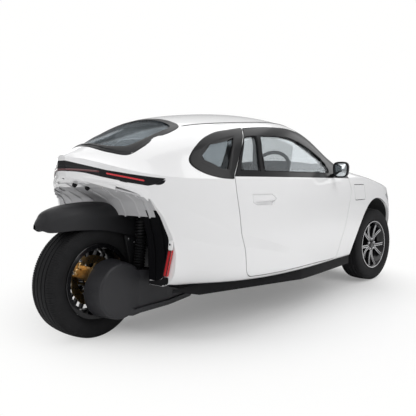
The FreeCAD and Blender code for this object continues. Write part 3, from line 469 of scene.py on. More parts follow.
def dress_nodes() -> None:
    """Give every CAD node the finish that DRESS names for it."""
    left = dict(frame["nodes"])
    for finish, stems in DRESS.items():
        for name in (stem + end for stem in stems for end in ("", "_right", "_left")):
            if name in left:
                node = left.pop(name)
                node.data.materials.clear()
                node.data.materials.append(finish.made())
    LOG.info("dressed the CAD nodes; without a finish: %s", sorted(left))


# ------------------------------------------------------------------ surfaces
CREASE_ANGLE = math.radians(32)


def grid_faces(rows: int, columns: int, wrap: bool = True, close: bool = False) -> np.ndarray:
    """Quads of a grid whose vertices run row by row.

    Args:
        rows: number of rows.
        columns: vertices in a row.
        wrap: join the last column to the first.
        close: join the last row to the first.

    Returns:
        An array of four vertex numbers a face.
    """
    last_row = rows if close else rows - 1
    last_column = columns if wrap else columns - 1
    row, column = np.meshgrid(np.arange(last_row), np.arange(last_column), indexing="ij")
    up, beside = (row + 1) % rows, (column + 1) % columns
    corners = (row * columns + column, row * columns + beside,
               up * columns + beside, up * columns + column)
    return np.stack(corners, axis=-1).reshape(-1, 4)


@dataclass
class Surface:
    """A mesh worked out as arrays.

    Attributes:
        points: one row of x, y, z a vertex.
        faces: one row of vertex numbers a face.
    """

    points: np.ndarray
    faces: np.ndarray

    def joined(self, *others: "Surface") -> "Surface":
        """This surface and others as one, their faces renumbered."""
        parts = (self, *others)
        offsets = np.cumsum([0] + [len(part.points) for part in parts[:-1]])
        return Surface(np.vstack([part.points for part in parts]),
                       np.vstack([part.faces + start for part, start in zip(parts, offsets)]))

    def flipped(self) -> "Surface":
        """The same surface, its faces turned round."""
        return Surface(self.points, self.faces[:, ::-1])

    def piece(self, name: str, finish: Finish, body: str = "root",
              shading: Shading = Shading.CREASED, replaces: Sequence[str] = ()) -> bpy.types.Object:
        """Put the surface in the scene.

        Args:
            name: the piece's name.
            finish: its finish.
            body: the CAD body that it rides on.
            shading: how its faces are shaded.
            replaces: CAD nodes that it stands for.

        Returns:
            The new object.
        """
        mesh = bpy.data.meshes.new(name)
        mesh.from_pydata(self.points.tolist(), [], self.faces.tolist())
        welded = bmesh.new()
        welded.from_mesh(mesh)
        bmesh.ops.remove_doubles(welded, verts=welded.verts, dist=2e-6)
        bmesh.ops.dissolve_degenerate(welded, edges=welded.edges, dist=1e-6)
        bmesh.ops.recalc_face_normals(welded, faces=welded.faces)
        welded.to_mesh(mesh)
        welded.free()
        mesh.polygons.foreach_set("use_smooth", [True] * len(mesh.polygons))
        if shading is Shading.CREASED:
            mesh.set_sharp_from_angle(angle=CREASE_ANGLE)
        mesh.materials.append(finish.made())
        made = bpy.data.objects.new(name, mesh)
        bpy.context.scene.collection.objects.link(made)
        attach(made, body)
        if replaces:
            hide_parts(*replaces)
        LOG.info("%s: %d faces on %s", name, len(self.faces), body)
        return made


def union(parts: Sequence[Surface]) -> Surface:
    """Several surfaces as one."""
    return parts[0].joined(*parts[1:])


@dataclass(frozen=True)
class Axle:
    """A wheel's axle: its middle, its direction, and two directions square to it.

    Attributes:
        joint: the wheel's joint.
        side: the side that the wheel faces.
    """

    joint: str
    side: Side

    @property
    def record(self) -> dict:
        """The joint's record."""
        return next(entry for entry in frame["joints"] if entry["name"] == self.joint)

    @property
    def body(self) -> str:
        """The wheel's CAD body."""
        return self.record["child"]

    @property
    def centre(self) -> np.ndarray:
        """The wheel's middle."""
        return np.array(self.record["pos_m"], dtype=float)

    @property
    def outward(self) -> np.ndarray:
        """Unit direction along the axle, away from the car."""
        axis = np.array(self.record["axis"], dtype=float)
        axis /= np.linalg.norm(axis)
        return axis * (math.copysign(1.0, axis[1]) * self.side.value)

    def place(self, depth: np.ndarray, radius: np.ndarray, angle: np.ndarray) -> np.ndarray:
        """Points from a depth outwards along the axle, a radius and an angle from straight up.

        Args:
            depth: metres outwards from the wheel's middle.
            radius: metres from the axle.
            angle: radians, turning forwards on the car's right-hand side.

        Returns:
            An array whose last axis is x, y, z.
        """
        up = np.array((0.0, 0.0, 1.0))
        ahead = np.cross(up, self.outward)
        radial = np.sin(angle)[..., None] * ahead + np.cos(angle)[..., None] * up
        return self.centre + depth[..., None] * self.outward + radius[..., None] * radial

    def at(self, depth: float, radius: float, angle: float) -> np.ndarray:
        """One place, measured as for place()."""
        return self.place(np.array([depth]), np.array([radius]), np.array([angle]))[0]


AXLES = {
    "front_tyre_right": Axle("roll_front_right", Side.RIGHT),
    "front_tyre_left": Axle("roll_front_left", Side.LEFT),
    "rear_tyre": Axle("roll_rear", Side.RIGHT),
}


# ------------------------------------------------------------------ paths and sections
def rounded(corners: Sequence[Sequence[float]], radius: float, steps: int = 6) -> np.ndarray:
    """Closed outline with its corners rounded.

    Formula: each corner is a quadratic Bezier from a point at most the radius before it to a point
    as far after it, never past the middle of a side.

    Args:
        corners: the corners of the outline, two numbers each.
        radius: how far from its corner each bend starts.
        steps: segments in each bend.

    Returns:
        One row a point.
    """
    corners = np.asarray(corners, dtype=float)
    share = np.linspace(0.0, 1.0, steps + 1)[:, None]
    bends = []
    for before, here, after in zip(np.roll(corners, 1, 0), corners, np.roll(corners, -1, 0)):
        ends = []
        for other in (before, after):
            away = other - here
            ends.append(here + away * min(radius / np.linalg.norm(away), 0.5))
        bends.append((1 - share) ** 2 * ends[0] + 2 * share * (1 - share) * here
                     + share ** 2 * ends[1])
    return np.vstack(bends)


def spread(path: np.ndarray, count: int, closed: bool = True) -> np.ndarray:
    """The same path with a number of points at equal distances."""
    path = np.asarray(path, dtype=float)
    if closed:
        path = np.vstack((path, path[:1]))
    reach = np.concatenate(([0.0], np.cumsum(np.linalg.norm(np.diff(path, axis=0), axis=1))))
    wanted = np.linspace(0.0, reach[-1], count + closed)[:count]
    return np.stack([np.interp(wanted, reach, column) for column in path.T], axis=-1)


def smooth_path(knots: Sequence[Sequence[float]], count: int) -> np.ndarray:
    """Points on a Catmull-Rom curve through knots.

    Formula: on each run, half of 2b + (c - a)t + (2a - 5b + 4c - d)t^2 + (3b - a - 3c + d)t^3.

    Args:
        knots: places that the curve passes.
        count: number of points wanted.

    Returns:
        One row a point.
    """
    knots = np.asarray(knots, dtype=float)
    padded = np.vstack((2 * knots[0] - knots[1], knots, 2 * knots[-1] - knots[-2]))
    place = np.linspace(0.0, len(knots) - 1.0, count)
    run = np.minimum(place.astype(int), len(knots) - 2)
    part = (place - run)[:, None]
    a, b, c, d = (padded[run + offset] for offset in range(4))
    return 0.5 * (2 * b + (c - a) * part + (2 * a - 5 * b + 4 * c - d) * part ** 2
                  + (3 * b - a - 3 * c + d) * part ** 3)


def unit(vectors: np.ndarray) -> np.ndarray:
    """Vectors of length one in the same directions."""
    length = np.linalg.norm(vectors, axis=-1, keepdims=True)
    return vectors / np.maximum(length, 1e-9)


def swept(path: np.ndarray, upward: np.ndarray, section: np.ndarray, closed: bool = False,
          scale: np.ndarray | None = None) -> Surface:
    """A section carried along a path.

    Formula: a section point (s, h) lands at path + s * across + h * upward, where across is the
    cross product of the path's direction with its upward direction.

    Args:
        path: places of the section's origin.
        upward: one direction for the whole path, or one a place.
        section: closed outline of (across, up) points, turning anticlockwise.
        closed: join the path's end to its start.
        scale: size of the section at each place, or 1.

    Returns:
        The surface, its open ends closed.
    """
    path = np.asarray(path, dtype=float)
    if closed:
        along = unit(np.roll(path, -1, 0) - np.roll(path, 1, 0))
    else:
        along = unit(np.gradient(path, axis=0))
    upward = np.broadcast_to(np.asarray(upward, dtype=float), path.shape)
    across = unit(np.cross(along, upward))
    upward = unit(np.cross(across, along))
    sized = section[None, :, :] * (np.ones(len(path)) if scale is None else scale)[:, None, None]
    points = (path[:, None, :] + sized[..., :1] * across[:, None, :]
              + sized[..., 1:] * upward[:, None, :])
    if not closed:
        ends = [np.broadcast_to(points[end].mean(axis=0), points[end].shape) for end in (0, -1)]
        points = np.concatenate((ends[0][None], points, ends[1][None]))
    rows, columns = points.shape[:2]
    return Surface(points.reshape(-1, 3), grid_faces(rows, columns, close=closed))


def bead(width: float, height: float, depth: float = 0.002) -> np.ndarray:
    """Section of a flat bead: its top is rounded at both edges and its foot sinks by a depth."""
    half, soft = width / 2, min(width, height + depth) * 0.3
    return np.array(((-half, -depth), (half, -depth), (half, height - soft),
                     (half - soft * 0.3, height - soft * 0.3), (half - soft, height),
                     (soft - half, height), (soft * 0.3 - half, height - soft * 0.3),
                     (-half, height - soft)))


def full_turn(count: int) -> np.ndarray:
    """That many angles evenly round a circle, from 0."""
    return np.linspace(0.0, 2 * math.pi, count + 1)[:-1]


def disc(radius: float, count: int = 12) -> np.ndarray:
    """Section of a round rod."""
    angle = full_turn(count)
    return np.stack((np.cos(angle), np.sin(angle)), axis=-1) * radius


def turned(profile: Sequence[Sequence[float]], centre: np.ndarray, axis: np.ndarray,
           count: int = 32, closed: bool = False) -> Surface:
    """A profile of (along, radius) points turned about an axis.

    Args:
        profile: the points, outside on the right of their direction of travel.
        centre: where along is 0.
        axis: the axis's direction.
        count: vertices round it.
        closed: join the profile's end to its start.

    Returns:
        The surface.
    """
    axis = unit(np.asarray(axis, dtype=float))
    other = np.array((0.0, 0.0, 1.0)) if abs(axis[2]) < 0.9 else np.array((1.0, 0.0, 0.0))
    first = unit(np.cross(axis, other))
    second = np.cross(axis, first)
    angle = full_turn(count)
    ring = np.cos(angle)[:, None] * first + np.sin(angle)[:, None] * second
    profile = np.asarray(profile, dtype=float)
    points = (np.asarray(centre) + profile[:, None, :1] * axis
              + profile[:, None, 1:] * ring[None, :, :])
    return Surface(points.reshape(-1, 3), grid_faces(len(profile), count, close=closed))


def bolt(centre: np.ndarray, axis: np.ndarray, radius: float, height: float,
         sides: int = 6) -> Surface:
    """A bolt head with a round flange under it, its foot at the centre."""
    flange = turned(((0.0, 0.0), (0.0, radius * 1.35), (height * 0.25, radius * 1.35),
                     (height * 0.3, radius * 1.2), (height * 0.3, 0.0)), centre, axis, 20)
    head = turned(((height * 0.3, radius), (height * 0.9, radius), (height, radius * 0.86),
                   (height, 0.0)), centre, axis, sides)
    return flange.joined(head).flipped()


Lay = Callable[[np.ndarray], tuple[np.ndarray, np.ndarray]]


class Skin:
    """Outer faces of some CAD nodes, to lay trim on."""

    def __init__(self, *stems: str, flush: float = 0.0) -> None:
        """Gather the faces.

        Args:
            stems: node names, which may leave out their side.
            flush: how far the panes are raised, so that they lie level with the body.
        """
        points, faces, rise = [], [], []
        for name, node in frame["nodes"].items():
            if name not in stems and name.rsplit("_", 1)[0] not in stems:
                continue
            start = len(points)
            points += [node.matrix_world @ vertex.co for vertex in node.data.vertices]
            faces += [[start + number for number in polygon.vertices]
                      for polygon in node.data.polygons]
            pane = "glass" in name or "windows" in name or name == "windscreen"
            rise += [flush if pane else 0.0] * len(node.data.polygons)
        self.tree = BVHTree.FromPolygons(points, faces)
        self.rise = np.array(rise)

    def cast(self, starts: np.ndarray, direction: Sequence[float]) -> tuple[np.ndarray, np.ndarray]:
        """Where rays first meet the faces.

        Args:
            starts: one place a ray.
            direction: the rays' direction.

        Returns:
            Places and outward directions, rays that miss being filled in from their neighbours.
        """
        hits = [self.tree.ray_cast(Vector(start), Vector(direction)) for start in starts]
        found = np.array([number for number, hit in enumerate(hits) if hit[0] is not None])
        every = np.arange(len(hits))
        places = np.array([tuple(hits[number][0]) for number in found])
        outward = np.array([tuple(hits[number][1]) for number in found])
        outward *= np.where(outward @ np.asarray(direction, dtype=float) > 0, -1.0, 1.0)[:, None]
        places += outward * self.rise[[hits[number][2] for number in found]][:, None]
        filled = [np.stack([np.interp(every, found, column) for column in data.T], axis=-1)
                  for data in (places, outward)]
        return filled[0], unit(filled[1])

    def beside(self, outline: np.ndarray, side: Side) -> tuple[np.ndarray, np.ndarray]:
        """Places on one side of the car from (x, z) points."""
        starts = np.stack((outline[:, 0], np.full(len(outline), 3.0 * side.value), outline[:, 1]),
                          axis=-1)
        return self.cast(starts, (0.0, -side.value, 0.0))

    def over(self, outline: np.ndarray) -> tuple[np.ndarray, np.ndarray]:
        """Places on top of the car from (x, y) points."""
        starts = np.stack((outline[:, 0], outline[:, 1], np.full(len(outline), 3.0)), axis=-1)
        return self.cast(starts, (0.0, 0.0, -1.0))

    def behind(self, outline: np.ndarray) -> tuple[np.ndarray, np.ndarray]:
        """Places on the back of the car from (y, z) points."""
        starts = np.stack((np.full(len(outline), -3.0), outline[:, 0], outline[:, 1]), axis=-1)
        return self.cast(starts, (1.0, 0.0, 0.0))


SKIN_GAP = 0.0004


def sheet_between(first: np.ndarray, second: np.ndarray, lay: Lay, lift: float, rows: int,
                  closed: bool = True) -> Surface:
    """A thin sheet on the skin between two lines, with its edges rounded down.

    Formula: row i lies the share i / (rows - 1) of the way from the first line to the second,
    raised by 0.4 mm and by the lift times the square root of 1 - (2 * share - 1)^8. One more row
    at each edge, and both ends of open lines, go under the skin.

    Args:
        first: points of the one line.
        second: as many points of the other line, in step with the first.
        lay: function from points to places and outward directions.
        lift: height over the skin in metres.
        rows: rows between the lines.
        closed: True for two outlines, False for two lines that start and end together.

    Returns:
        The sheet.
    """
    sunk = -0.002 if closed else -0.003
    layers = []
    for number, share in enumerate((0.0, *np.linspace(0.0, 1.0, rows), 1.0)):
        places, outward = lay(first * (1 - share) + second * share)
        raised = lift * math.sqrt(max(1 - abs(2 * share - 1) ** 8, 0.0)) + SKIN_GAP
        height = np.full(len(first), sunk if number in (0, rows + 1) else raised)
        if not closed:
            height[[0, -1]] = sunk
        layers.append(places + outward * height[:, None])
    return Surface(np.vstack(layers), grid_faces(rows + 2, len(first), wrap=closed))


def plate(outline: np.ndarray, middle: Sequence[float], layers: Sequence[tuple[float, float]],
          origin: Sequence[float], axes: Sequence[Sequence[float]]) -> Surface:
    """A flat plate of stacked copies of its outline.

    Args:
        outline: its points, across and up.
        middle: the point that the copies shrink to.
        layers: metres outwards and size of each copy, the first and last of size 0.
        origin: the place where across, up and outwards are 0.
        axes: the directions across, up and outwards.

    Returns:
        The plate.
    """
    across, upward, outward = (np.array(axis, dtype=float) for axis in axes)
    rows = []
    for lift, size in layers:
        flat = middle + (outline - middle) * size
        rows.append(origin + flat[:, :1] * across + flat[:, 1:] * upward + lift * outward)
    return Surface(np.vstack(rows), grid_faces(len(layers), len(outline)))


def slab_between(outer: np.ndarray, inner: np.ndarray) -> Surface:
    """A closed sheet between two open grids of the same shape.

    Args:
        outer: rows of columns of places on its outside.
        inner: the same for its inside.

    Returns:
        The sheet, with its four rims closed.
    """
    rows, columns = outer.shape[:2]
    count = rows * columns
    face = grid_faces(rows, columns, wrap=False)
    number = np.arange(count).reshape(rows, columns)
    rims = []
    for edge in (number[0], number[:, -1], number[-1, ::-1], number[::-1, 0]):
        rims.append(np.stack((edge[1:], edge[:-1], edge[:-1] + count, edge[1:] + count), axis=-1))
    return Surface(np.vstack((outer.reshape(-1, 3), inner.reshape(-1, 3))),
                   np.vstack((face, face[:, ::-1] + count, *rims)))


# ------------------------------------------------------------------ wheels
# A prong: radii of its ends, depth at the hub, how much further out it is at the barrel, how far it
# dips halfway, and its section for a width of 1.
PRONG_ENDS = (0.040, 0.186)
PRONG_DEPTH, PRONG_RISE, PRONG_DIP = 0.060, 0.010, 0.008
PRONG_SECTION = np.array(((-0.5, -0.026), (-0.36, -0.030), (0.36, -0.030), (0.5, -0.026),
                          (0.5, -0.004), (0.42, 0.0), (-0.42, 0.0), (-0.5, -0.004)))
# A bright face on it: radii of its ends, width, height, and distance in from the prong's edge.
FACE_ENDS = (0.052, 0.188)
FACE_WIDTH, FACE_HEIGHT, FACE_EDGE = 0.0075, 0.0012, 0.0045
# The nuts: their number, radius and depth of their circle, and radius and height of each.
NUTS, NUT_CIRCLE, NUT_DEPTH, NUT_SIZE = 5, 0.045, 0.058, (0.0085, 0.009)
VALVE_RADIUS, VALVE_ANGLE, VALVE_INSET = 0.176, 0.35, 0.018
VALVE_PROFILE = ((0.0, 0.0), (0.0, 0.005), (0.022, 0.0038), (0.024, 0.0045), (0.034, 0.0045),
                 (0.036, 0.0))


@dataclass
class Rim:
    """A cast wheel: a turned barrel, forked spokes, a hub with nuts and a valve.

    Attributes:
        axle: the wheel's axle, its side being the one that the spokes face.
        node: the CAD rim that it stands for.
        forks: number of forked spokes.
        foot: half the angle between a fork's two prongs at the hub, in radians.
        tip: the same at the barrel.
        width: width of a prong.
        lined: give each prong two bright faces with a dark groove between them.
        flange: radius of the barrel's flange.
        half: half the width of the barrel.
        hub: radius of the hub's drum.
    """

    axle: Axle
    node: str
    forks: int
    foot: float
    tip: float
    width: float
    lined: bool
    flange: float = 0.2065
    half: float = 0.0825
    hub: float = 0.058

    def line(self, angle: float, lean: tuple[float, float], shift: float, lift: float,
             ends: tuple[float, float]) -> np.ndarray:
        """Path of a prong's face.

        Formula: the angle is the fork's, plus a lean that goes from the hub's to the barrel's with
        the way along to the power 0.7; the depth grows by the rise on the way, and dips with the
        sine of pi times the way.

        Args:
            angle: the fork's angle.
            lean: angle from the fork at the hub and at the barrel.
            shift: metres sideways from the prong's middle.
            lift: metres outwards from its face.
            ends: radii where it starts and stops.

        Returns:
            One row a place.
        """
        share = np.linspace(0.0, 1.0, 14)
        radius = ends[0] + (ends[1] - ends[0]) * share
        leaned = lean[0] + (lean[1] - lean[0]) * share ** 0.7
        depth = PRONG_DEPTH + PRONG_RISE * share - PRONG_DIP * np.sin(math.pi * share) + lift
        return self.axle.place(depth, radius, angle + leaned + shift / radius)

    def spokes(self) -> tuple[Surface, list[Surface]]:
        """The prongs, and the bright faces on them."""
        bodies, faces = [], []
        for fork, sign in itertools.product(range(self.forks), (-1, 1)):
            angle = (fork + 0.5) * 2 * math.pi / self.forks
            lean = (sign * self.foot, sign * self.tip)
            path = self.line(angle, lean, 0.0, 0.0, PRONG_ENDS)
            bodies.append(swept(path, self.axle.outward, PRONG_SECTION * (self.width, 1.0)))
            for edge in (-1, 1) if self.lined else ():
                shift = edge * (self.width / 2 - FACE_EDGE)
                strip = self.line(angle, lean, shift, SKIN_GAP, FACE_ENDS)
                faces.append(swept(strip, self.axle.outward, bead(FACE_WIDTH, FACE_HEIGHT)))
        return union(bodies), faces

    def barrel(self) -> Surface:
        """The barrel, its flanges rolled outwards and its well stepped."""
        out, flange = self.half, self.flange
        profile = ((out, flange - 0.002), (out - 0.003, flange), (out - 0.008, flange - 0.001),
                   (out - 0.009, flange - 0.014), (0.045, flange - 0.017), (0.030, flange - 0.032),
                   (-0.035, flange - 0.032), (-0.05, flange - 0.017), (0.008 - out, flange - 0.015),
                   (0.007 - out, flange - 0.001), (0.002 - out, flange), (-out, flange - 0.003),
                   (-out, flange - 0.024), (0.02 - out, flange - 0.028), (-0.035, flange - 0.042),
                   (0.030, flange - 0.042), (0.05, flange - 0.027), (out - 0.014, flange - 0.023),
                   (out - 0.002, flange - 0.012))
        return turned(profile, self.axle.centre, self.axle.outward, 96, closed=True)

    def middle(self) -> Surface:
        """The hub's drum and its cap."""
        profile = ((-0.012, 0.0), (-0.012, self.hub), (0.040, self.hub + 0.004),
                   (0.056, self.hub), (0.060, self.hub - 0.006), (0.060, 0.034), (0.054, 0.032),
                   (0.054, 0.030), (0.063, 0.029), (0.065, 0.025), (0.066, 0.0))
        return turned(profile, self.axle.centre, self.axle.outward, 48)

    def build(self) -> None:
        """Make the wheel in place of its CAD node."""
        axle = self.axle
        spokes, faces = self.spokes()
        union((spokes, self.barrel(), self.middle())).piece(
            f"{self.node}_casting", DARK_ALLOY, axle.body, replaces=(self.node,))
        union([bolt(axle.at(NUT_DEPTH, NUT_CIRCLE, turn), axle.outward, *NUT_SIZE)
               for turn in full_turn(NUTS)]).piece(f"{self.node}_nuts", BRIGHT_ALLOY, axle.body)
        foot = axle.at(self.half - VALVE_INSET, VALVE_RADIUS, VALVE_ANGLE)
        turned(VALVE_PROFILE, foot, axle.outward, 14).piece(
            f"{self.node}_valve", BLACK_TRIM, axle.body, Shading.SMOOTH)
        if faces:
            low, high = self.half - 0.001, self.half + 0.0006
            inner, outer = self.flange - 0.010, self.flange - 0.003
            ring = turned(((low, inner), (high, inner), (high, outer), (low, outer)),
                          axle.centre, axle.outward, 96, closed=True)
            union((*faces, ring)).piece(f"{self.node}_faces", BRIGHT_ALLOY, axle.body)


# The rear disc: its inner radius, half its thickness, and the petals of its edge.
DISC_INNER, DISC_HALF = 0.094, 0.003
PETALS, PETAL_HALF = 10, 0.0015
# Its spider: arms, their root, length, lean, width and half thickness, and the hub's section.
ARMS, ARM_ROOT, ARM_LENGTH, ARM_LEAN = 10, 0.045, 0.055, 0.35
ARM_WIDTH, ARM_HALF = 0.013, 0.004
SPIDER_HUB = ((-0.006, 0.031), (-0.006, 0.050), (0.006, 0.050), (0.006, 0.031))
# Its drillings: rows, holes in a row, first radius, steps outwards and round, and radius of each.
HOLE_ROWS, ROW_HOLES = 20, 3
HOLE_START, HOLE_STEP, HOLE_LEAN, HOLE_RADIUS, HOLE_PROUD = 0.104, 0.011, 0.07, 0.0028, 0.0005
# Places round the axle, (angle, radius), of the caliper's studs and of its pistons' covers.
STUD_SIZE, STUD_DEPTH, POT_DEPTH = (0.0065, 0.008), 0.0515, 0.051
STUDS = ((-1.22, 0.112), (-0.62, 0.112), (-1.16, 0.156), (-0.68, 0.156))
POTS = ((-1.06, 0.137), (-0.80, 0.137))
POT_PROFILE = ((0.0, 0.0), (0.0, 0.019), (0.006, 0.018), (0.009, 0.014), (0.009, 0.0))


@dataclass
class RearBrake:
    """Brake of the driven wheel: a drilled disc on a spider, and bolts on its caliper.

    Attributes:
        axle: the wheel's axle.
        depth: metres outwards of the disc's middle.
        radius: the disc's outer radius.
    """

    axle: Axle
    depth: float = 0.020
    radius: float = 0.139

    def face(self) -> Surface:
        """The disc: its outer edge waves in ten petals of 3 mm."""
        angle = full_turn(180)
        inner = np.full_like(angle, DISC_INNER)
        wave = self.radius - PETAL_HALF + PETAL_HALF * np.cos(PETALS * angle)
        rows = [self.axle.place(np.full_like(angle, self.depth + depth), radius, angle)
                for radius, depth in ((inner, -DISC_HALF), (wave, -DISC_HALF), (wave, DISC_HALF),
                                      (inner, DISC_HALF))]
        return Surface(np.vstack(rows), grid_faces(4, len(angle), close=True))

    def spider(self) -> Surface:
        """Ten arms from the hub to the disc, each leaning against the turn."""
        share = np.linspace(0.0, 1.0, 5)
        arms = [swept(self.axle.place(np.full_like(share, self.depth),
                                      ARM_ROOT + ARM_LENGTH * share, turn + ARM_LEAN * share),
                      self.axle.outward, bead(ARM_WIDTH, ARM_HALF, ARM_HALF))
                for turn in full_turn(ARMS)]
        hub = turned(SPIDER_HUB, self.axle.centre + self.depth * self.axle.outward,
                     self.axle.outward, 40, closed=True)
        return hub.joined(*arms)

    def holes(self) -> Surface:
        """Dark drillings in rows of three that lean round the disc, proud of it by half a mm."""
        low = self.depth - DISC_HALF - HOLE_PROUD
        high = 2 * (DISC_HALF + HOLE_PROUD)
        profile = ((0.0, 0.0), (0.0, HOLE_RADIUS), (high, HOLE_RADIUS), (high, 0.0))
        return union([turned(profile, self.axle.at(low, HOLE_START + HOLE_STEP * step,
                                                   turn + HOLE_LEAN * step),
                             self.axle.outward, 10)
                      for turn in full_turn(HOLE_ROWS) for step in range(ROW_HOLES)])

    def build(self) -> None:
        """Make the disc in place of its CAD node, and the caliper's details."""
        axle = self.axle
        self.face().joined(self.spider()).piece("rear_brake_face", GOLD_ALLOY, axle.body,
                                                replaces=("rear_brake_disc",))
        self.holes().piece("rear_brake_holes", BLACK_STEEL, axle.body, Shading.SMOOTH)
        union([bolt(axle.at(STUD_DEPTH, radius, turn), axle.outward, *STUD_SIZE)
               for turn, radius in STUDS]).piece("rear_caliper_studs", BRIGHT_ALLOY)
        union([turned(POT_PROFILE, axle.at(POT_DEPTH, radius, turn), axle.outward, 28)
               for turn, radius in POTS]).piece("rear_caliper_pots", GOLD_ALLOY)


# ------------------------------------------------------------------ rear end
def ahead(distance: float) -> float:
    """X of a place that many metres ahead of the rear axle."""
    return float(AXLES["rear_tyre"].centre[0]) + distance


@dataclass(frozen=True)
class GuardRow:
    """Cross-section of the mudguard, in metres from the rear axle.

    Attributes:
        x: distance ahead.
        half: half width.
        low: height of the lower edge.
        crease: height of the side crease.
        top: height of the crown.
    """

    x: float
    half: float
    low: float
    crease: float
    top: float


GUARD_ROWS = (
    GuardRow(-0.327, 0.012, 0.307, 0.315, 0.328),
    GuardRow(-0.300, 0.043, 0.296, 0.310, 0.360),
    GuardRow(-0.264, 0.065, 0.286, 0.308, 0.395),
    GuardRow(-0.150, 0.107, 0.293, 0.344, 0.422),
    GuardRow(0.020, 0.1165, 0.281, 0.357, 0.432),
    GuardRow(0.180, 0.1165, 0.241, 0.330, 0.411),
    GuardRow(0.318, 0.1165, 0.167, 0.262, 0.351),
)


# The mudguard's stay in side view, (metres ahead of the axle, height), and its thickness as
# (place across, size); then its bolts in the same view.
STAY = ((0.150, 0.555), (0.232, 0.530), (0.262, 0.32), (0.200, 0.32))
STAY_LAYERS = ((-0.110, 0.0), (-0.110, 1.0), (-0.121, 1.0), (-0.1235, 0.95), (-0.1235, 0.0))
STAY_BOLTS = ((0.176, 0.53), (0.218, 0.505), (0.226, 0.36))


def mudguard() -> None:
    """The mudguard: a thin shell with a creased side, a rolled lower edge, its stay and bolts.

    Formula: the table's rows are joined by Catmull-Rom curves; across, the side rises to the
    crease and a second curve carries it over the crown.
    """
    rows = smooth_path([(row.x, row.half, row.low, row.crease, row.top) for row in GUARD_ROWS], 56)

    def grid(inset: float) -> np.ndarray:
        """Places of the shell's outside, moved in by a distance."""
        layers = []
        for x, half, low, crease, top in rows:
            half, top = max(half - inset, 0.004), top - inset
            rise = top - crease
            side = smooth_path(((half * 0.95 - 0.004, low - 0.002), (half * 0.965, low),
                                (half, low + (crease - low) * 0.55), (half * 0.992, crease)), 10)
            crown = smooth_path(((half * 0.992, crease), (half * 0.90, crease + rise * 0.50),
                                 (half * 0.62, crease + rise * 0.87), (0.0, top),
                                 (-half * 0.62, crease + rise * 0.87)), 25)[:19]
            right = np.vstack((side, crown[1:]))
            across = np.vstack((right * (-1, 1), right[-2::-1]))
            layers.append(np.stack((np.full(len(across), ahead(x)), across[:, 0],
                                    across[:, 1] + 0.311), axis=-1))
        return np.stack(layers)

    slab_between(grid(0.0), grid(0.004)).piece(
        "mudguard_shell", GUARD_PLASTIC, replaces=("rear_mudguard",))
    outline = rounded(STAY, 0.02, 4)
    plate(outline, outline.mean(axis=0), STAY_LAYERS, (ahead(0.0), 0.0, 0.0),
          ((1.0, 0.0, 0.0), (0.0, 0.0, 1.0), (0.0, 1.0, 0.0))).piece(
        "mudguard_stay", GUARD_PLASTIC)
    union([bolt((ahead(x), STAY_LAYERS[-1][0] + 0.0005, z), (0.0, -1.0, 0.0), 0.006, 0.006)
           for x, z in STAY_BOLTS]).piece("mudguard_bolts", BRIGHT_ALLOY)


# Ends of the shock on the car, from the rear axle, and what it is made of along its length.
SHOCK_FOOT, SHOCK_HEAD = (0.205, -0.170, 0.341), (0.2385, -0.170, 0.652)
SHOCK_LOW = ((0.0, 0.0), (0.0, 0.012), (0.07, 0.014), (0.09, 0.030))
SHOCK_HIGH = ((0.63, 0.034), (0.66, 0.034), (0.67, 0.024), (0.98, 0.024), (1.0, 0.0))
COIL_TURNS, COIL_START, COIL_SHARE, COIL_RADIUS = 5.5, 0.67, 0.30, 0.031


def shock() -> None:
    """The rear shock in place of its CAD node: a coil and a bellows over the rod, with its bolt.

    Formula: the bellows' radius swings between 25 and 33 mm with a period of 16 mm along it.
    """
    foot, head = (np.array((ahead(x), y, z)) for x, y, z in (SHOCK_FOOT, SHOCK_HEAD))
    axis = head - foot
    length = np.linalg.norm(axis)
    along = np.linspace(0.10, 0.62, 78) * length
    bellows = 0.029 + 0.004 * np.abs(np.sin(math.pi * along / 0.016)) ** 0.6 * 2 - 0.004
    low, high = (np.array(part) * (length, 1.0) for part in (SHOCK_LOW, SHOCK_HIGH))
    turned(np.vstack((low, np.stack((along, bellows), axis=-1), high)), foot, axis, 40).piece(
        "shock_bellows", BLACK_TRIM, replaces=("rear_shock",))
    turns = np.linspace(0.0, COIL_TURNS, 170)[:, None]
    angle = turns * 2 * math.pi
    coil = foot + (COIL_START + COIL_SHARE * turns / COIL_TURNS) * axis + COIL_RADIUS * (
        np.cos(angle) * (1.0, 0.0, 0.0) + np.sin(angle) * (0.0, 1.0, 0.0))
    swept(coil, unit(axis), disc(0.0048, 8)).piece("shock_coil", BLACK_STEEL,
                                                   shading=Shading.SMOOTH)
    bolt(foot + (0.0, -0.014, 0.012), (0.0, -1.0, 0.0), 0.0105, 0.016).piece(
        "shock_bolt", BRIGHT_ALLOY)


# ------------------------------------------------------------------ glazing and trim
PANE_INSET = 0.005


def from_axle(points: Sequence[Sequence[float]]) -> np.ndarray:
    """Points whose first number counts forwards from the rear axle, as places on the car."""
    return np.asarray(points, dtype=float) + (ahead(0.0), 0.0)


def both_halves(half: Outline) -> list[tuple[float, float]]:
    """A plan outline from its right half, whose first and last points lie on the centre line."""
    right = [(x, -y) for x, y in half]
    return right + [(x, y) for x, y in half[-2:0:-1]]


@dataclass(frozen=True)
class Border:
    """Black border printed round a pane that is seen from above.

    Attributes:
        name: the piece's name.
        outer: right half of its outer outline, from the axle, on the plan.
        inner: right half of its inner outline, with a corner for each outer one.
        stems: CAD nodes that it lies on.
    """

    name: str
    outer: Outline
    inner: Outline
    stems: tuple[str, ...]

    def build(self) -> None:
        """Lay the border on the car."""
        skin = Skin(*self.stems, flush=PANE_INSET)
        outer, inner = (rounded(from_axle(both_halves(half)), 0.05, 8)
                        for half in (self.outer, self.inner))
        sheet_between(outer, inner, skin.over, 0.0012, 11).piece(self.name, GLOSS_BLACK)


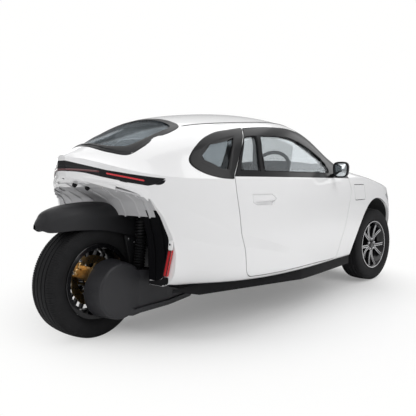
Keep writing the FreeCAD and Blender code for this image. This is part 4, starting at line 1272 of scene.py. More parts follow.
BORDERS = (
    Border("rear_glass_border",
           ((-0.056, 0.0), (-0.036, 0.13), (0.034, 0.266), (0.080, 0.293), (0.322, 0.360),
            (0.372, 0.340), (0.401, 0.19), (0.408, 0.0)),
           ((-0.018, 0.0), (0.0, 0.12), (0.064, 0.222), (0.104, 0.246), (0.312, 0.309),
            (0.342, 0.295), (0.370, 0.175), (0.380, 0.0)),
           ("rear_glass", "tail_panel", "roof_panel", "body_side")),
    Border("windscreen_border",
           ((1.462, 0.0), (1.450, 0.25), (1.408, 0.495), (1.440, 0.520), (1.845, 0.640),
            (1.885, 0.625), (1.968, 0.34), (2.002, 0.0)),
           ((1.505, 0.0), (1.495, 0.24), (1.458, 0.450), (1.480, 0.475), (1.822, 0.590),
            (1.850, 0.575), (1.925, 0.31), (1.952, 0.0)),
           ("windscreen", "roof_panel", "body_side", "cowl_panel")),
)
# Side-view outlines, metres ahead of the axle and above the ground.
SURROUND = ((0.243, 0.949), (0.289, 1.018), (0.368, 1.086), (0.466, 1.130), (0.648, 1.165),
            (0.672, 1.169), (0.654, 1.142), (0.558, 1.013), (0.458, 0.888), (0.446, 0.867),
            (0.430, 0.866), (0.370, 0.869), (0.291, 0.894))
SURROUND_INNER = ((0.306, 0.966), (0.332, 1.016), (0.392, 1.060), (0.462, 1.083), (0.544, 1.103),
                  (0.556, 1.106), (0.549, 1.096), (0.494, 1.010), (0.442, 0.924), (0.436, 0.914),
                  (0.424, 0.915), (0.394, 0.916), (0.340, 0.934))
DOOR_PANES = (
    ((0.508, 0.912), (0.659, 0.912), (0.734, 1.124), (0.630, 1.108)),
    ((0.688, 0.912), (1.464, 0.912), (1.498, 0.949), (1.452, 1.007), (1.290, 1.070),
     (1.132, 1.116), (0.942, 1.133), (0.764, 1.126)),
)


def side_glazing() -> None:
    """Quarter window surrounds and the rubber seals round the door panes, on both sides."""
    shelf = Skin("body_side", "quarter_window_frames", "quarter_windows", flush=PANE_INSET)
    outer = rounded(from_axle(SURROUND), 0.045, 6)
    inner = rounded(from_axle(SURROUND_INNER), 0.030, 6)
    panes = Skin("door_glass", "door_window_frame")
    for side in Side:
        sheet_between(outer, inner, lambda outline, side=side: shelf.beside(outline, side),
                      0.0016, 11).piece(f"quarter_surround_{side.word}", GLOSS_BLACK)
        for number, pane in enumerate(DOOR_PANES):
            outline = spread(rounded(from_axle(pane), 0.022, 5), 120)
            places, outward = panes.beside(outline, side)
            swept(places, outward, bead(0.009, 0.0032, 0.004), closed=True).piece(
                f"pane_seal_{number}_{side.word}", BLACK_TRIM, f"door_{side.word}")


@dataclass(frozen=True)
class Strip:
    """A flat bead laid along the car's skin, with a twin on the other side.

    Attributes:
        name: the piece's name.
        finish: its finish.
        knots: places on its middle line: (x, y) over the car, x from the axle, or (y, z) behind it.
        over: True where it is laid from above, False from behind.
        width: metres.
        height: metres over the skin.
        stems: CAD nodes that it lies on.
        across: True where one strip crosses the centre line and has no twin.
    """

    name: str
    finish: Finish
    knots: Outline
    over: bool
    width: float
    height: float
    stems: tuple[str, ...]
    across: bool = False

    def build(self) -> None:
        """Lay the strip and its twin, each drawn in a little at both ends."""
        skin = Skin(*self.stems)
        number = np.arange(60)
        taper = np.minimum(1.0, 0.7 + 0.25 * np.minimum(number, number[::-1]))
        for side in (Side.LEFT,) if self.across else Side:
            path = smooth_path(self.knots, len(number))
            if self.over:
                places, outward = skin.over(from_axle(path * (1.0, side.value)))
            else:
                places, outward = skin.behind(path * (side.value, 1.0))
            name = self.name if self.across else f"{self.name}_{side.word}"
            swept(places, outward, bead(self.width, self.height), scale=taper).piece(
                name, self.finish)


LAMP_NODES = ("tail_lamp", "tail_panel")
STRIPS = (
    Strip("lamp_strip", LAMP_STRIP, ((0.228, 0.8940), (0.30, 0.8775), (0.384, 0.8565)), False,
          0.0085, 0.0030, LAMP_NODES),
    Strip("lamp_middle", LAMP_DARK, ((-0.196, 0.9035), (-0.1, 0.9125), (0.0, 0.9155),
                                     (0.1, 0.9125), (0.196, 0.9035)), False, 0.0105, 0.0028,
          LAMP_NODES, across=True),
    Strip("roof_ditch", BLACK_TRIM, ((0.370, 0.352), (0.470, 0.405), (0.620, 0.462),
                                     (0.800, 0.511), (0.960, 0.540), (1.120, 0.552),
                                     (1.280, 0.545), (1.412, 0.512)), True, 0.009, 0.0016,
          ("roof_panel", "body_side")),
)


# Right half of the lamp's cover seen from behind, (y, z): its upper and its lower line.
COVER_UPPER = ((0.0, 0.9390), (0.10, 0.9320), (0.226, 0.9110), (0.33, 0.8905), (0.40, 0.8775),
               (0.452, 0.8690), (0.460, 0.8655))
COVER_LOWER = ((0.0, 0.9080), (0.10, 0.9015), (0.222, 0.8780), (0.30, 0.8570), (0.36, 0.8415),
               (0.412, 0.8350), (0.460, 0.8655))
# Lower edge of the tail, (x, y, z) with x from the rear axle, and the line over it, (y, z).
TAIL_EDGE = ((-0.112, 0.120, 0.842), (-0.094, 0.165, 0.846), (-0.056, 0.242, 0.838),
             (-0.012, 0.312, 0.816), (0.036, 0.372, 0.785), (0.060, 0.398, 0.755))
TAIL_UPPER = ((0.120, 0.884), (0.165, 0.880), (0.242, 0.866), (0.312, 0.846), (0.372, 0.826),
              (0.404, 0.808))
LIP_BULGE, LIP_COLUMNS = 0.006, 40
# The lip's turned-in edge, two steps from its foot, and its thickness.
LIP_TURN = ((0.003, 0.0, -0.003), (0.016, 0.0, 0.004))
LIP_SHEET = (0.004, 0.0, 0.001)
# Side view of the recess over the wheel, metres from the rear axle, and its ribs, metres out.
RECESS_LINE = ((-0.100, 0.832), (-0.034, 0.806), (0.020, 0.781), (0.066, 0.757), (0.088, 0.720),
               (0.104, 0.690), (0.112, 0.668))
RECESS_RIBS = (0.06, 0.17, 0.28, 0.36)
RECESS_HALF, RECESS_RIB = 0.40, 0.007
RECESS_SHEET = (0.002, 0.0, 0.003)
CORNER_REACH, CORNER_HEIGHTS = (0.272, 0.449), (0.352, 0.300)
COVER_LIFT = 0.0016


def lamp_cover() -> None:
    """Gloss cover of the lamp bar, its right half's lines mirrored to the left."""
    half = [smooth_path(line, 70) for line in (COVER_UPPER, COVER_LOWER)]
    upper, lower = (np.vstack((line[::-1] * (-1, 1), line[1:])) for line in half)
    lamp = Skin("tail_lamp", "tail_panel", "body_side")
    sheet_between(upper, lower, lamp.behind, COVER_LIFT, 9, closed=False).piece(
        "lamp_cover", GLOSS_BLACK)


def tail_lips() -> None:
    """The tail's lower lips, from the skin down to the tail's edge and then turned in.

    Formula: each row lies a share of the way down, and bulges by 6 mm times the sine of pi times
    the share, fading towards the lip's outer end with the way along to the power 5.
    """
    lamp = Skin("tail_lamp", "tail_panel", "body_side")
    edge = smooth_path(TAIL_EDGE, LIP_COLUMNS) + (ahead(0.0), 0.0, 0.0)
    share = np.linspace(0.0, 1.0, 9)[:, None, None]
    fade = (1 - np.linspace(0.0, 1.0, LIP_COLUMNS) ** 5)[None, :, None]
    for side in Side:
        top, outward = lamp.behind(smooth_path(TAIL_UPPER, LIP_COLUMNS) * (side.value, 1.0))
        top = top + outward * 0.0006
        foot = edge * (1.0, side.value, 1.0)
        bulge = LIP_BULGE * np.sin(math.pi * share) * outward * fade
        face = np.vstack((top * (1 - share) + foot * share + bulge,
                          *((foot + np.array(step))[None] for step in LIP_TURN)))
        slab_between(face, face + np.array(LIP_SHEET)).piece(
            f"tail_lip_{side.word}", WHITE_PAINT)


def wheel_recess() -> None:
    """The ribbed recess over the wheel, from the tail's lower edge forwards and down, its white
    paint made grey as painted shade.

    Formula: the side-view line carried across the car; each rib hangs 7 mm times
    1 / (1 + (distance / 7 mm)^6) below it, growing over the first quarter of the way. A share cubed
    of the gap to the tail's edge is added, so that the sheet starts on it.
    """
    line, border = smooth_path(RECESS_LINE, 60), np.array(TAIL_EDGE)
    across = np.linspace(-RECESS_HALF, RECESS_HALF, 321)
    out = np.abs(across)
    start = np.interp(out, border[:, 1], border[:, 0]) + 0.006
    share = np.linspace(0.0, 1.0, 30)[:, None]
    along = start * (1 - share) + line[-1, 0] * share
    rib = sum(RECESS_RIB / (1 + ((out - place) / RECESS_RIB) ** 6) for place in RECESS_RIBS)
    height = np.interp(along, line[:, 0], line[:, 1]) - rib * np.minimum(1.0, 4 * share)
    drop = np.interp(out, border[:, 1], border[:, 2]) + 0.002 - height[0]
    height += drop * (1 - share) ** 3
    sheet = np.stack((along + ahead(0.0), np.broadcast_to(across, along.shape), height), axis=-1)
    slab_between(sheet, sheet + RECESS_SHEET).piece("wheel_recess", RECESS_SHADED_WHITE)


def corner_trims() -> None:
    """Black trim on the body's lower rear corners."""
    corner = Skin("body_side")
    for side in Side:
        reach = np.linspace(*CORNER_REACH, 30) * side.value
        upper, lower = (np.stack((reach, np.full(30, z)), axis=-1) for z in CORNER_HEIGHTS)
        sheet_between(upper, lower, corner.behind, COVER_LIFT, 9, closed=False).piece(
            f"corner_trim_{side.word}", BLACK_TRIM)


# The sill bands: where they run, from the axle; the height at which rays find the body, and the
# share by which it rises towards the back; and the band's middle from there, inwards and down.
SILL_RUN = (0.21, 1.925)
SILL_HEIGHT, SILL_RISE, SILL_BEND, SILL_BEND_RUN = 0.284, 0.020, 0.55, 0.34
SILL_IN, SILL_DOWN, SILL_WIDTH, SILL_HALF = 0.014, 0.036, 0.018, 0.034


def sill_bands() -> None:
    """Black band under each sill, from behind the door to the front wheel's arch.

    Formula: a flat section 68 mm high, its middle 36 mm under places found on the body by rays from
    the side, and 14 mm in from them; its first eight places taper to three tenths of that.
    """
    skin = Skin("body_side", "front_fender", "door_panel")
    count = 90
    x = np.linspace(*SILL_RUN, count)
    z = SILL_HEIGHT + SILL_RISE * np.clip((SILL_BEND - x) / SILL_BEND_RUN, 0.0, 1.0)
    taper = np.clip(np.arange(count) / 8.0, 0.3, 1.0)
    for side in Side:
        places, _ = skin.beside(from_axle(np.stack((x, z), axis=-1)), side)
        places = places - np.array((0.0, SILL_IN * side.value, SILL_DOWN))
        swept(places, (0.0, 0.0, 1.0), bead(SILL_WIDTH, SILL_HALF, SILL_HALF),
              scale=taper).piece(f"sill_band_{side.word}", BLACK_TRIM)


# Stops under the tail, (x from the axle, y, z), the way that they point and their profile.
STOPS = ((-0.096, -0.010, 0.836), (-0.062, -0.074, 0.820))
STOP_AXIS = (-0.82, -0.25, -0.5)
STOP_PROFILE = ((-0.012, 0.0), (-0.012, 0.010), (0.004, 0.013), (0.010, 0.012), (0.013, 0.007),
                (0.013, 0.0))
TAIL_HOLE = (0.014, 0.868)
HOLE_PROFILE = ((-0.004, 0.0), (-0.004, 0.006), (0.0008, 0.006), (0.0012, 0.0))
# A reflector's corners, and its bracket's about its middle, seen from behind.
REFLECTOR = ((0.422, 0.360), (0.444, 0.360), (0.4815, 0.498), (0.4595, 0.498))
REFLECTOR_FACE = 0.1425
BRACKET = ((-0.013, -0.026), (0.013, -0.026), (0.019, 0.026), (-0.007, 0.026))
BRACKET_MIDDLE = (0.149, 0.474, 0.526)
BRACKET_LAYERS = ((0.0, 0.0), (0.0, 1.0), (-0.006, 1.0), (-0.0075, 0.93), (-0.0075, 0.0))


def tail_details() -> None:
    """Stops and a hole under the tail, reflector frames and their brackets."""
    union([turned(STOP_PROFILE, (ahead(x), y, z), STOP_AXIS, 24) for x, y, z in STOPS]).piece(
        "tail_stops", BLACK_TRIM)
    place, outward = Skin("tail_panel").behind(np.array((TAIL_HOLE,)))
    turned(HOLE_PROFILE, place[0], outward[0], 20).piece(
        "tail_hole", BLACK_TRIM, shading=Shading.SMOOTH)
    backward = (-1.0, 0.0, 0.0)
    for side in Side:
        outline = spread(rounded(REFLECTOR, 0.006, 4), 90)
        path = np.stack((np.full(len(outline), ahead(REFLECTOR_FACE)), outline[:, 0] * side.value,
                         outline[:, 1]), axis=-1)
        swept(path, backward, bead(0.003, 0.002, 0.002), closed=True).piece(
            f"reflector_frame_{side.word}", GLOSS_BLACK)
        x, y, z = BRACKET_MIDDLE
        centre = np.array((ahead(x), y * side.value, z))
        plate(rounded(BRACKET, 0.006, 4), (0.0, 0.0), BRACKET_LAYERS, centre,
              ((0.0, side.value, 0.0), (0.0, 0.0, 1.0), (1.0, 0.0, 0.0))).piece(
            f"reflector_bracket_{side.word}", WHITE_PAINT)
        bolt(centre + (BRACKET_LAYERS[-1][0], 0.0, 0.004), backward, 0.0042, 0.003).piece(
            f"reflector_screw_{side.word}", BLACK_STEEL)


# The mirror's layers, (size, metres along the car): its shell, and the pane in it.
SHELL_LAYERS = ((0.001, 0.012), (0.80, 0.012), (0.84, 0.0), (0.97, 0.0), (1.0, 0.004),
                (1.0, 0.024), (0.95, 0.026), (0.001, 0.026))
PANE_LAYERS = ((0.001, 0.0105), (0.825, 0.0105), (0.825, 0.0055), (0.81, 0.005), (0.001, 0.004))
CAP_START, CAP_SIZE, CAP_POWER = 0.0265, 0.985, 2.4
MIRROR_FOOT, MIRROR_KNEE = (1.505, 0.735, 0.888), (1.505, 0.800, 0.905)


@dataclass(frozen=True)
class Mirror:
    """Door mirror: a rounded shell, a thin rim, the pane in it and its foot on the door.

    Attributes:
        side: the door's side.
        middle: its middle on the right-hand side, from the axle.
        half: half width, half height and depth.
    """

    side: Side
    middle: Place = (1.477, 0.832, 0.936)
    half: Place = (0.054, 0.056, 0.060)
    columns: int = 64

    def outline(self, size: float, lift: float) -> np.ndarray:
        """Rounded outline of the shell at a place along the car.

        Formula: a superellipse of power 3.2, made 7 % wider at its top and narrower at its foot.

        Args:
            size: share of the full outline.
            lift: metres ahead of the shell's rear face.

        Returns:
            One row a place.
        """
        angle = full_turn(self.columns)
        wide, tall = (np.sign(wave) * np.abs(wave) ** (2 / 3.2) * half * size
                      for wave, half in ((np.cos(angle), self.half[0]),
                                         (np.sin(angle), self.half[1])))
        wide = wide * (1.0 + 0.07 * tall / self.half[1])
        x = np.full_like(angle, ahead(self.middle[0]) + lift)
        return np.stack((x, (self.middle[1] + wide) * self.side.value, self.middle[2] + tall),
                        axis=-1)

    def piece(self, part: str, finish: Finish, layers: Sequence[tuple[float, float]],
              replaces: str = "") -> None:
        """Make one piece of stacked outlines on the door.

        Args:
            part: the piece's name, less its side.
            finish: its finish.
            layers: size and lift of each outline.
            replaces: the CAD node that it stands for, less its side.
        """
        rows = [self.outline(size, lift) for size, lift in layers]
        Surface(np.vstack(rows), grid_faces(len(rows), self.columns)).piece(
            f"{part}_{self.side.word}", finish, f"door_{self.side.word}",
            replaces=(f"{replaces}_{self.side.word}",) if replaces else ())

    def build(self) -> None:
        """Make the mirror in place of its CAD nodes.

        Formula of the cap: its outline shrinks with the root of 1 - share^2.4 towards the front.
        """
        self.piece("mirror_shell", GLOSS_BLACK, SHELL_LAYERS, "door_mirror")
        cap = [(CAP_SIZE * max((1 - share ** CAP_POWER) ** 0.5, 0.001),
                CAP_START + share * (self.half[2] - CAP_START))
               for share in np.linspace(0.0, 1.0, 14)]
        self.piece("mirror_cap", WHITE_PAINT, [(0.001, CAP_START), *cap])
        self.piece("mirror_pane", MIRROR_FACE, PANE_LAYERS, "mirror_glass")
        foot, knee = (np.array((ahead(x), y * self.side.value, z))
                      for x, y, z in (MIRROR_FOOT, MIRROR_KNEE))
        swept(smooth_path((foot, (foot + knee) / 2 + (0.0, 0.0, -0.002), knee), 10),
              (1.0, 0.0, 0.0), bead(0.026, 0.016, 0.016)).piece(
            f"mirror_foot_{self.side.word}", GLOSS_BLACK, f"door_{self.side.word}")


# ------------------------------------------------------------------ cabin
CLOTH = {"quality": 4, "mass": 0.3, "tension_stiffness": 12.0, "compression_stiffness": 12.0,
         "use_pressure": True, "uniform_pressure_force": 4.0}
CLOTH_FRAMES = 14
VOXEL = 0.009
# The seams of a pad: the channels' places and the bolster's, as shares of the half size, and how
# wide and deep they are.
CHANNELS, CHANNEL_WIDTH, CHANNEL_DEPTH = (-0.42, 0.0, 0.42), 0.007, 0.007
BOLSTER, BOLSTER_WIDTH = 0.66, 0.008


@dataclass(frozen=True)
class Pad:
    """A stuffed seat pad: a crowned block inflated as cloth.

    Attributes:
        name: the piece's name.
        low: its lowest corner, before it is turned.
        high: its highest corner.
        soft: how far its edges are drawn in, in metres.
        lean: degrees that it leans back about its lower front edge.
    """

    name: str
    low: Place
    high: Place
    soft: float = 0.022
    lean: float = 0.0

    @property
    def middle(self) -> np.ndarray:
        """The block's middle."""
        return (np.array(self.low) + np.array(self.high)) / 2

    @property
    def half(self) -> np.ndarray:
        """Half of the block's three sizes."""
        return (np.array(self.high) - np.array(self.low)) / 2

    def block(self) -> Surface:
        """Rounded block.

        Formula: a sphere's directions pushed out to a superellipsoid of power 5 with the pad's
        half sizes, less a quarter of the softness.
        """
        rows, columns = 25, 48
        up = np.linspace(-math.pi / 2, math.pi / 2, rows)[:, None]
        turn = full_turn(columns)[None, :]

        def bent(value: np.ndarray) -> np.ndarray:
            """Signed power of a sine or cosine."""
            return np.sign(value) * np.abs(value) ** (2 / 5.0)

        ball = np.stack(np.broadcast_arrays(bent(np.cos(up)) * bent(np.cos(turn)),
                                            bent(np.cos(up)) * bent(np.sin(turn)),
                                            bent(np.sin(up))), axis=-1)
        points = self.middle + ball * (self.half - self.soft * 0.25)
        return Surface(points.reshape(-1, 3), grid_faces(rows, columns))

    def leaned(self, points: np.ndarray) -> np.ndarray:
        """Points turned back about the pad's lower front edge."""
        angle = math.radians(self.lean)
        pivot = np.array((self.high[0], 0.0, self.low[2]))
        arm = points - pivot
        x = arm[:, 0] * math.cos(angle) - arm[:, 2] * math.sin(angle)
        z = arm[:, 0] * math.sin(angle) + arm[:, 2] * math.cos(angle)
        return pivot + np.stack((x, arm[:, 1], z), axis=-1)

    def puff(self, made: bpy.types.Object) -> None:
        """Inflate the pad as cloth and hold each point near where it began.

        Args:
            made: the pad, at its place, with its first mesh.
        """
        remesh = made.modifiers.new("remesh", "REMESH")
        remesh.mode, remesh.voxel_size = "VOXEL", VOXEL
        apply_modifiers(made)
        before = places_of(made)
        cloth = made.modifiers.new("cloth", "CLOTH").settings
        for name, value in CLOTH.items():
            setattr(cloth, name, value)
        cloth.effector_weights.gravity = 0.0
        scene = bpy.context.scene
        for number in range(CLOTH_FRAMES):
            scene.frame_set(number + 1)
        apply_modifiers(made)
        scene.frame_set(1)
        moved = places_of(made) - before
        length = np.linalg.norm(moved, axis=1, keepdims=True)
        moved *= np.minimum(1.0, self.soft / np.maximum(length, 1e-9))
        made.data.vertices.foreach_set("co", (before + moved).ravel())

    def channels(self, points: np.ndarray) -> np.ndarray:
        """Points with three sewn channels pressed into the pad's middle panel.

        Formula: each channel lowers the face by 7 mm times exp(-(distance / 7 mm)^2), along the
        pad's thin direction, and a seam 8 mm wide at two thirds of the half width does the same.
        """
        thin = int(np.argmin(self.half))
        long = 2 if thin == 0 else 0
        offset = points - self.middle
        side = np.abs(offset[:, 1]) / self.half[1]
        press = np.exp(-((side - BOLSTER) * self.half[1] / BOLSTER_WIDTH) ** 2)
        for share in CHANNELS:
            line = np.exp(-((offset[:, long] - share * self.half[long]) / CHANNEL_WIDTH) ** 2)
            press = np.maximum(press, line * (side < BOLSTER))
        facing = np.clip(offset[:, thin] / self.half[thin], 0.0, 1.0) ** 2
        moved = points.copy()
        moved[:, thin] -= CHANNEL_DEPTH * press * facing
        return moved

    def build(self) -> bpy.types.Object:
        """Make the pad."""
        made = self.block().piece(self.name, SEAT_CLOTH, shading=Shading.SMOOTH)
        self.puff(made)
        finer = made.modifiers.new("finer", "SUBSURF")
        finer.levels = finer.render_levels = 1
        apply_modifiers(made)
        points = self.leaned(self.channels(places_of(made)))
        made.data.vertices.foreach_set("co", points.ravel())
        made.data.polygons.foreach_set("use_smooth", [True] * len(made.data.polygons))
        made.data.update()
        return made


def places_of(made: bpy.types.Object) -> np.ndarray:
    """The vertices of an object's mesh, one row each."""
    return np.array([tuple(vertex.co) for vertex in made.data.vertices])


def apply_modifiers(made: bpy.types.Object) -> None:
    """Bake an object's modifiers into its mesh, keeping its finish."""
    depsgraph = bpy.context.evaluated_depsgraph_get()
    mesh = bpy.data.meshes.new_from_object(made.evaluated_get(depsgraph))
    old = made.data
    materials = [slot for slot in old.materials]
    made.modifiers.clear()
    made.data = mesh
    mesh.materials.clear()
    for material in materials:
        mesh.materials.append(material)
    bpy.data.meshes.remove(old)


# The seats: inner and outer edge across the car, where cushion and back start from the axle, and
# the low and high corners of both pads, as (from the start, height).
SEAT_EDGES = (0.092, 0.528)
CUSHION_START, CUSHION_CORNERS = 0.781, ((0.004, 0.472), (0.476, 0.588))
BACK_START, BACK_CORNERS, BACK_LEAN = 0.769, ((-0.106, 0.492), (-0.002, 0.985)), 15.0


def seats() -> None:
    """Two seats of padded pieces in place of the CAD's cushions and backs."""
    for side in Side:
        edges = sorted(edge * side.value for edge in SEAT_EDGES)

        def corners(start: float, pair: Outline) -> list[Place]:
            """A pad's low and high corner."""
            return [(ahead(start) + x, y, z) for (x, z), y in zip(pair, edges)]

        cushion = Pad(f"seat_pad_{side.word}", *corners(CUSHION_START, CUSHION_CORNERS)).build()
        rest = Pad(f"seat_back_{side.word}", *corners(BACK_START, BACK_CORNERS),
                   lean=BACK_LEAN).build()
        if side is Side.RIGHT:
            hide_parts("seat_cushions")
            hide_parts("seat_backs")


# The steering wheel: its grip's radius and thickness, its pad's profile, and its spokes' start,
# length, dish and section.
GRIP_RADIUS, GRIP_HALF = 0.165, 0.0135
PAD_PROFILE = ((-0.034, 0.0), (-0.034, 0.040), (-0.018, 0.052), (-0.004, 0.052), (0.004, 0.046),
               (0.008, 0.030), (0.009, 0.0))
SPOKE_START, SPOKE_LENGTH, SPOKE_DISH = 0.035, 0.125, 0.010
SPOKE_SECTION = bead(0.030, 0.006, 0.006)


def steering_wheel() -> None:
    """The steering wheel in place of its CAD node: a grip, three spokes and a plain pad."""
    record = next(entry for entry in frame["joints"] if entry["name"] == "turn_steering_wheel")
    centre, axis = np.array(record["pos_m"]), unit(np.array(record["axis"]))
    side = np.array((0.0, 1.0, 0.0))
    up = np.cross(axis, side)
    up *= math.copysign(1.0, up[2])
    angle = full_turn(96)[:, None]
    grip = centre + GRIP_RADIUS * (np.cos(angle) * up + np.sin(angle) * side)
    parts = [swept(grip, axis, disc(GRIP_HALF, 14), closed=True),
             turned(PAD_PROFILE, centre - axis * 0.004, axis, 40)]
    share = np.linspace(0.0, 1.0, 6)[:, None]
    for turn in (-math.pi / 2, math.pi / 2, math.pi):
        out = math.cos(turn) * up + math.sin(turn) * side
        path = centre + out * (SPOKE_START + SPOKE_LENGTH * share) - axis * SPOKE_DISH * (1 - share)
        parts.append(swept(path, axis, SPOKE_SECTION))
    union(parts).piece("steering_wheel_trim", CABIN_GREY, record["child"],
                       replaces=("steering_wheel",))


# The centre screen: how far it leans back, its glass seen from behind, its foot from the axle and
# its layers.
SCREEN_TILT = math.radians(14)
SCREEN = ((-0.093, 0.006), (0.153, 0.006), (0.153, 0.144), (-0.093, 0.144))
SCREEN_FOOT = (1.49328, 0.86655)
SCREEN_LAYERS = ((-0.004, 0.0), (-0.004, 1.0), (0.0015, 1.0), (0.0025, 0.985), (0.0025, 0.0))


def centre_screen() -> None:
    """A dark glass face on the dashboard's centre screen."""
    sine, cosine = math.sin(SCREEN_TILT), math.cos(SCREEN_TILT)
    outline = rounded(SCREEN, 0.012, 5)
    plate(outline, outline.mean(axis=0), SCREEN_LAYERS,
          (ahead(SCREEN_FOOT[0]), 0.0, SCREEN_FOOT[1]),
          ((0.0, 1.0, 0.0), (sine, 0.0, cosine), (-cosine, 0.0, sine))).piece(
        "centre_screen_face", GLOSS_BLACK)


# ------------------------------------------------------------------ tyres
# Where the sipes start across the tread and how far down the shoulder they go, how much narrower a
# groove is at its floor, the rim's flange, and what the tyre leaves free inside its CAD box.
SIPE_START, SIPE_REACH = 0.054, 0.034
GROOVE_SLOPE = 0.0012
FLANGE_RADIUS = 0.207
TYRE_FREE_RADIUS, TYRE_FREE_WIDTH = 0.0005, 0.001


@dataclass
class Tyre:
    """A road tyre: a rounded section with grooves round the tread and sipes across its shoulders.

    Attributes:
        axle: the wheel's axle.
        node: the CAD tyre that it stands for.
        radius: outer radius.
        width: overall width.
        bead: radius at the rim's flange.
        groove_depth: depth of the grooves.
        groove_width: width of each groove.
        pitches: sipes round the tyre.
        grooves: the grooves' middles across the tread.
        sipe: where a sipe's top edges and floor edges lie, as shares of its pitch.
        sipe_depth: depth of the sipes.
        shoulder: height of the sidewall over the rim's flange.
        corner: how far the shoulder reaches in from the sidewall.
        camber: fall of the tread from its middle to the shoulder.
        tuck: how far the sidewall draws in at the rim.
    """

    axle: Axle
    node: str
    radius: float
    width: float
    bead: float
    groove_depth: float = 0.0065
    groove_width: float = 0.008
    pitches: int = 150
    grooves: tuple[float, ...] = (-0.047, -0.017, 0.017, 0.047)
    sipe: tuple[float, ...] = (0.0, 0.62, 0.70, 0.94)
    sipe_depth: float = 0.0035
    shoulder: float = 0.045
    corner: float = 0.024
    camber: float = 0.004
    tuck: float = 0.017

    def profile(self) -> tuple[np.ndarray, np.ndarray, np.ndarray]:
        """Section from one bead to the other.

        Formula: the crown is an arc of low rise, the shoulder and sidewall are quarter
        superellipses, and each groove adds four rows, two at the top and two at its floor.

        Returns:
            Depth along the axle, radius, and 1 on the rows that the sipes cut.
        """
        half = self.width / 2
        crown = half - self.corner
        top_edge, floor_edge = self.groove_width / 2, self.groove_width / 2 - GROOVE_SLOPE
        rows = [(-crown, 0.0)]
        for middle in self.grooves:
            rows += [(middle - top_edge, 0.0), (middle - floor_edge, 1.0),
                     (middle + floor_edge, 1.0), (middle + top_edge, 0.0)]
        across, cut = np.array((*rows, (crown, 0.0))).T
        top = self.radius - self.camber * (across / crown) ** 2 - cut * self.groove_depth
        turn = np.linspace(0.12, 1.0, 12) * math.pi / 2
        wall = self.bead + self.shoulder
        fall = np.linspace(0.0, 1.0, 9)[1:]
        side_depth = np.concatenate((crown + (half - crown) * np.sin(turn) ** 0.9,
                                     half - self.tuck * fall ** 2.2))
        side = np.concatenate((wall + (self.radius - self.camber - wall) * np.cos(turn) ** 0.8,
                               wall - self.shoulder * fall))
        sipes = (side > self.radius - SIPE_REACH).astype(float)
        edge = (np.abs(across) > SIPE_START).astype(float)
        return (np.concatenate((-side_depth[::-1], across, side_depth)),
                np.concatenate((side[::-1], top, side)),
                np.concatenate((sipes[::-1], edge, sipes)))

    def surface(self) -> Surface:
        """The tyre's skin.

        Formula: the section turned about the axle, less a sipe's depth where both the row is on a
        shoulder and the column is on a sipe's floor.
        """
        depth, radius, marked = self.profile()
        fractions = (np.arange(self.pitches)[:, None] + np.array(self.sipe)[None, :]).ravel()
        angle = fractions * 2 * math.pi / self.pitches
        floor = np.tile((0.0, 0.0, 1.0, 1.0), self.pitches)
        cut = self.sipe_depth * marked[:, None] * floor[None, :]
        rows, columns = len(depth), len(angle)
        points = self.axle.place(np.broadcast_to(depth[:, None], (rows, columns)),
                                 radius[:, None] - cut,
                                 np.broadcast_to(angle[None, :], (rows, columns)))
        return Surface(points.reshape(-1, 3), grid_faces(rows, columns))

    def inner(self) -> Surface:
        """The tyre's inside, a plain band between the beads that closes the skin."""
        depth, radius, _ = self.profile()
        ends = np.array((depth[0], depth[-1]))
        angle = full_turn(96)
        shape = (2, len(angle))
        points = self.axle.place(np.broadcast_to(ends[:, None], shape),
                                 np.broadcast_to(np.array((radius[0], radius[-1]))[:, None], shape),
                                 np.broadcast_to(angle[None, :], shape))
        return Surface(points.reshape(-1, 3), grid_faces(*shape)).flipped()

    def build(self) -> None:
        """Make the tyre in place of its CAD node."""
        surface = self.surface().joined(self.inner())
        if self.axle.side is Side.LEFT:
            surface = surface.flipped()
        surface.piece(f"{self.node}_tread", TYRE_RUBBER, self.axle.body, replaces=(self.node,))


# ------------------------------------------------------------------ studio
@dataclass(frozen=True)
class Lamp:
    """A square area lamp aimed at the car's middle.

    Attributes:
        name: its name.
        place: its middle.
        width: metres along each side.
        power: watts.
    """

    name: str
    place: Place
    width: float
    power: float

    def hang(self) -> None:
        """Hang the lamp."""
        data = bpy.data.lights.new(f"lamp_{self.name}", "AREA")
        data.size, data.energy = self.width, self.power
        aim(data, self.place, AIM - Vector(self.place))


AIM = Vector((0.0, 0.0, 0.5))
LAMPS = (
    Lamp("top", (0.3, -0.2, 4.2), 4.5, 84.0),
    Lamp("side", (-1.0, -4.7, 4.2), 3.4, 80.0),
    Lamp("back", (-5.5, 0.4, 2.4), 2.6, 24.0),
    Lamp("front", (4.6, -1.8, 2.8), 2.6, 24.0),
    Lamp("far_side", (0.2, 5.0, 2.6), 3.2, 40.0),
)
# Colour stops of the light from the sky, from the horizon up, and its strength.
SKY = ((0.0, (0.62, 0.62, 0.63)), (0.55, (0.95, 0.95, 0.95)))
SKY_STRENGTH = 0.55
# The floor: radius of its middle, radius where it is all haze, its rim, and the least haze.
FLOOR_GREY: Colour = (0.93, 0.93, 0.93)
FLOOR_RINGS = (0.001, 4.0, 40.0)
HAZE_RUN, LEAST_HAZE = (0.8, 2.0), 0.22


def aim(data: bpy.types.ID, place: Sequence[float], look: Vector) -> bpy.types.Object:
    """Put a lamp or a camera at a place, looking along a direction and level across."""
    made = bpy.data.objects.new(data.name, data)
    made.location = place
    made.rotation_euler = look.to_track_quat("-Z", "Y").to_euler()
    bpy.context.scene.collection.objects.link(made)
    return made


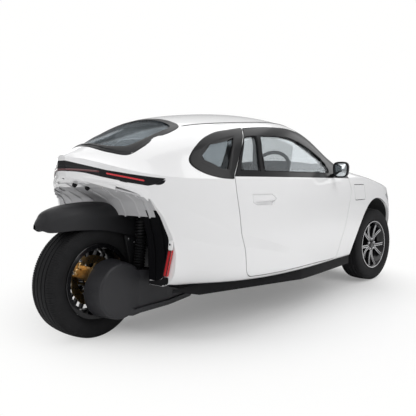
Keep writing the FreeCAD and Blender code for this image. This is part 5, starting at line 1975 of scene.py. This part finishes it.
@dataclass(frozen=True)
class Studio:
    """Plain pale floor, soft light and the camera.

    Attributes:
        eye: the camera's place.
        heading: degrees to the left of straight ahead.
        tilt: degrees above level.
        lens: focal length in millimetres on a 36 mm sensor.
    """

    eye: Place = (-2.9128, -2.0372, 0.8462)
    heading: float = 38.3
    tilt: float = -3.23
    lens: float = 38.69

    def camera(self) -> None:
        """Make the camera, level across."""
        data = bpy.data.cameras.new("camera")
        data.lens = self.lens
        heading, tilt = math.radians(self.heading), math.radians(self.tilt)
        look = Vector((math.cos(heading) * math.cos(tilt), math.sin(heading) * math.cos(tilt),
                       math.sin(tilt)))
        bpy.context.scene.camera = aim(data, self.eye, look)

    def world(self) -> None:
        """White to the camera and through glass, and a soft upright grey gradient as light."""
        world = bpy.data.worlds.new("studio")
        world.use_nodes = True
        nodes = Nodes(world.node_tree)
        ray = nodes.node("ShaderNodeLightPath").outputs
        direct = nodes.math("MAXIMUM", ray["Is Camera Ray"], ray["Is Transmission Ray"])
        place = nodes.node("ShaderNodeTexCoord").outputs["Generated"]
        split = nodes.node("ShaderNodeSeparateXYZ", {0: place})
        ramp = nodes.node("ShaderNodeValToRGB", {0: split.outputs["Z"]})
        for stop, (position, colour) in zip(ramp.color_ramp.elements, SKY):
            stop.position, stop.color = position, (*colour, 1.0)
        soft = nodes.node("ShaderNodeBackground",
                          {"Color": ramp.outputs[0], "Strength": SKY_STRENGTH})
        white = nodes.node("ShaderNodeBackground", {"Color": WHITE})
        nodes.node("ShaderNodeOutputWorld", {0: nodes.blend(direct, soft, white)})
        bpy.context.scene.world = world

    def floor(self) -> None:
        """A flat disc that takes the shadow and fades to white away from the car."""
        angle = full_turn(128)
        ring = np.stack((np.cos(angle), np.sin(angle), np.zeros_like(angle)), axis=-1)
        points = np.vstack([ring * radius for radius in FLOOR_RINGS])
        mesh = bpy.data.meshes.new("floor")
        mesh.from_pydata(points.tolist(), [], grid_faces(3, len(angle)).tolist())
        graph = Graph("floor")
        graph.dress(Base_Color=FLOOR_GREY, Roughness=0.6, Specular_IOR_Level=0.2)
        glow = graph.node("ShaderNodeEmission", {"Color": WHITE})
        reach = graph.vector("LENGTH", graph.coordinates, (0.0, 0.0, 0.0))
        haze = graph.math("MAXIMUM", graph.step(reach, *HAZE_RUN), LEAST_HAZE)
        ray = graph.node("ShaderNodeLightPath").outputs
        seen = graph.math("MULTIPLY", haze, ray["Is Camera Ray"])
        graph.show(graph.blend(seen, graph.shader, glow))
        mesh.materials.append(graph.material)
        made = bpy.data.objects.new("floor", mesh)
        bpy.context.scene.collection.objects.link(made)

    def build(self) -> None:
        """Set up the whole studio."""
        bpy.context.scene.view_settings.view_transform = "Standard"
        self.world()
        self.floor()
        for lamp in LAMPS:
            lamp.hang()
        self.camera()


def main() -> None:
    """Build the car's looks and the studio."""
    logging.basicConfig(level=logging.INFO, format="%(message)s")
    dress_nodes()
    low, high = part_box("rear_tyre")
    for node, axle in AXLES.items():
        Tyre(axle, node, radius=(high.z - low.z) / 2 - TYRE_FREE_RADIUS,
             width=high.y - low.y - TYRE_FREE_WIDTH, bead=FLANGE_RADIUS).build()
    for side in Side:
        Rim(AXLES[f"front_tyre_{side.word}"], f"front_rim_{side.word}", forks=5, foot=0.10,
            tip=0.27, width=0.025, lined=True).build()
    Rim(Axle("roll_rear", Side.LEFT), "rear_rim", forks=9, foot=0.09, tip=0.20, width=0.011,
        lined=False).build()
    RearBrake(AXLES["rear_tyre"]).build()
    mudguard()
    shock()
    for border in BORDERS:
        border.build()
    side_glazing()
    for strip in STRIPS:
        strip.build()
    for build in (lamp_cover, tail_lips, wheel_recess, corner_trims, sill_bands, tail_details):
        build()
    for side in Side:
        Mirror(side).build()
    seats()
    steering_wheel()
    centre_screen()
    Studio().build()


if __name__ == "__main__":
    main()
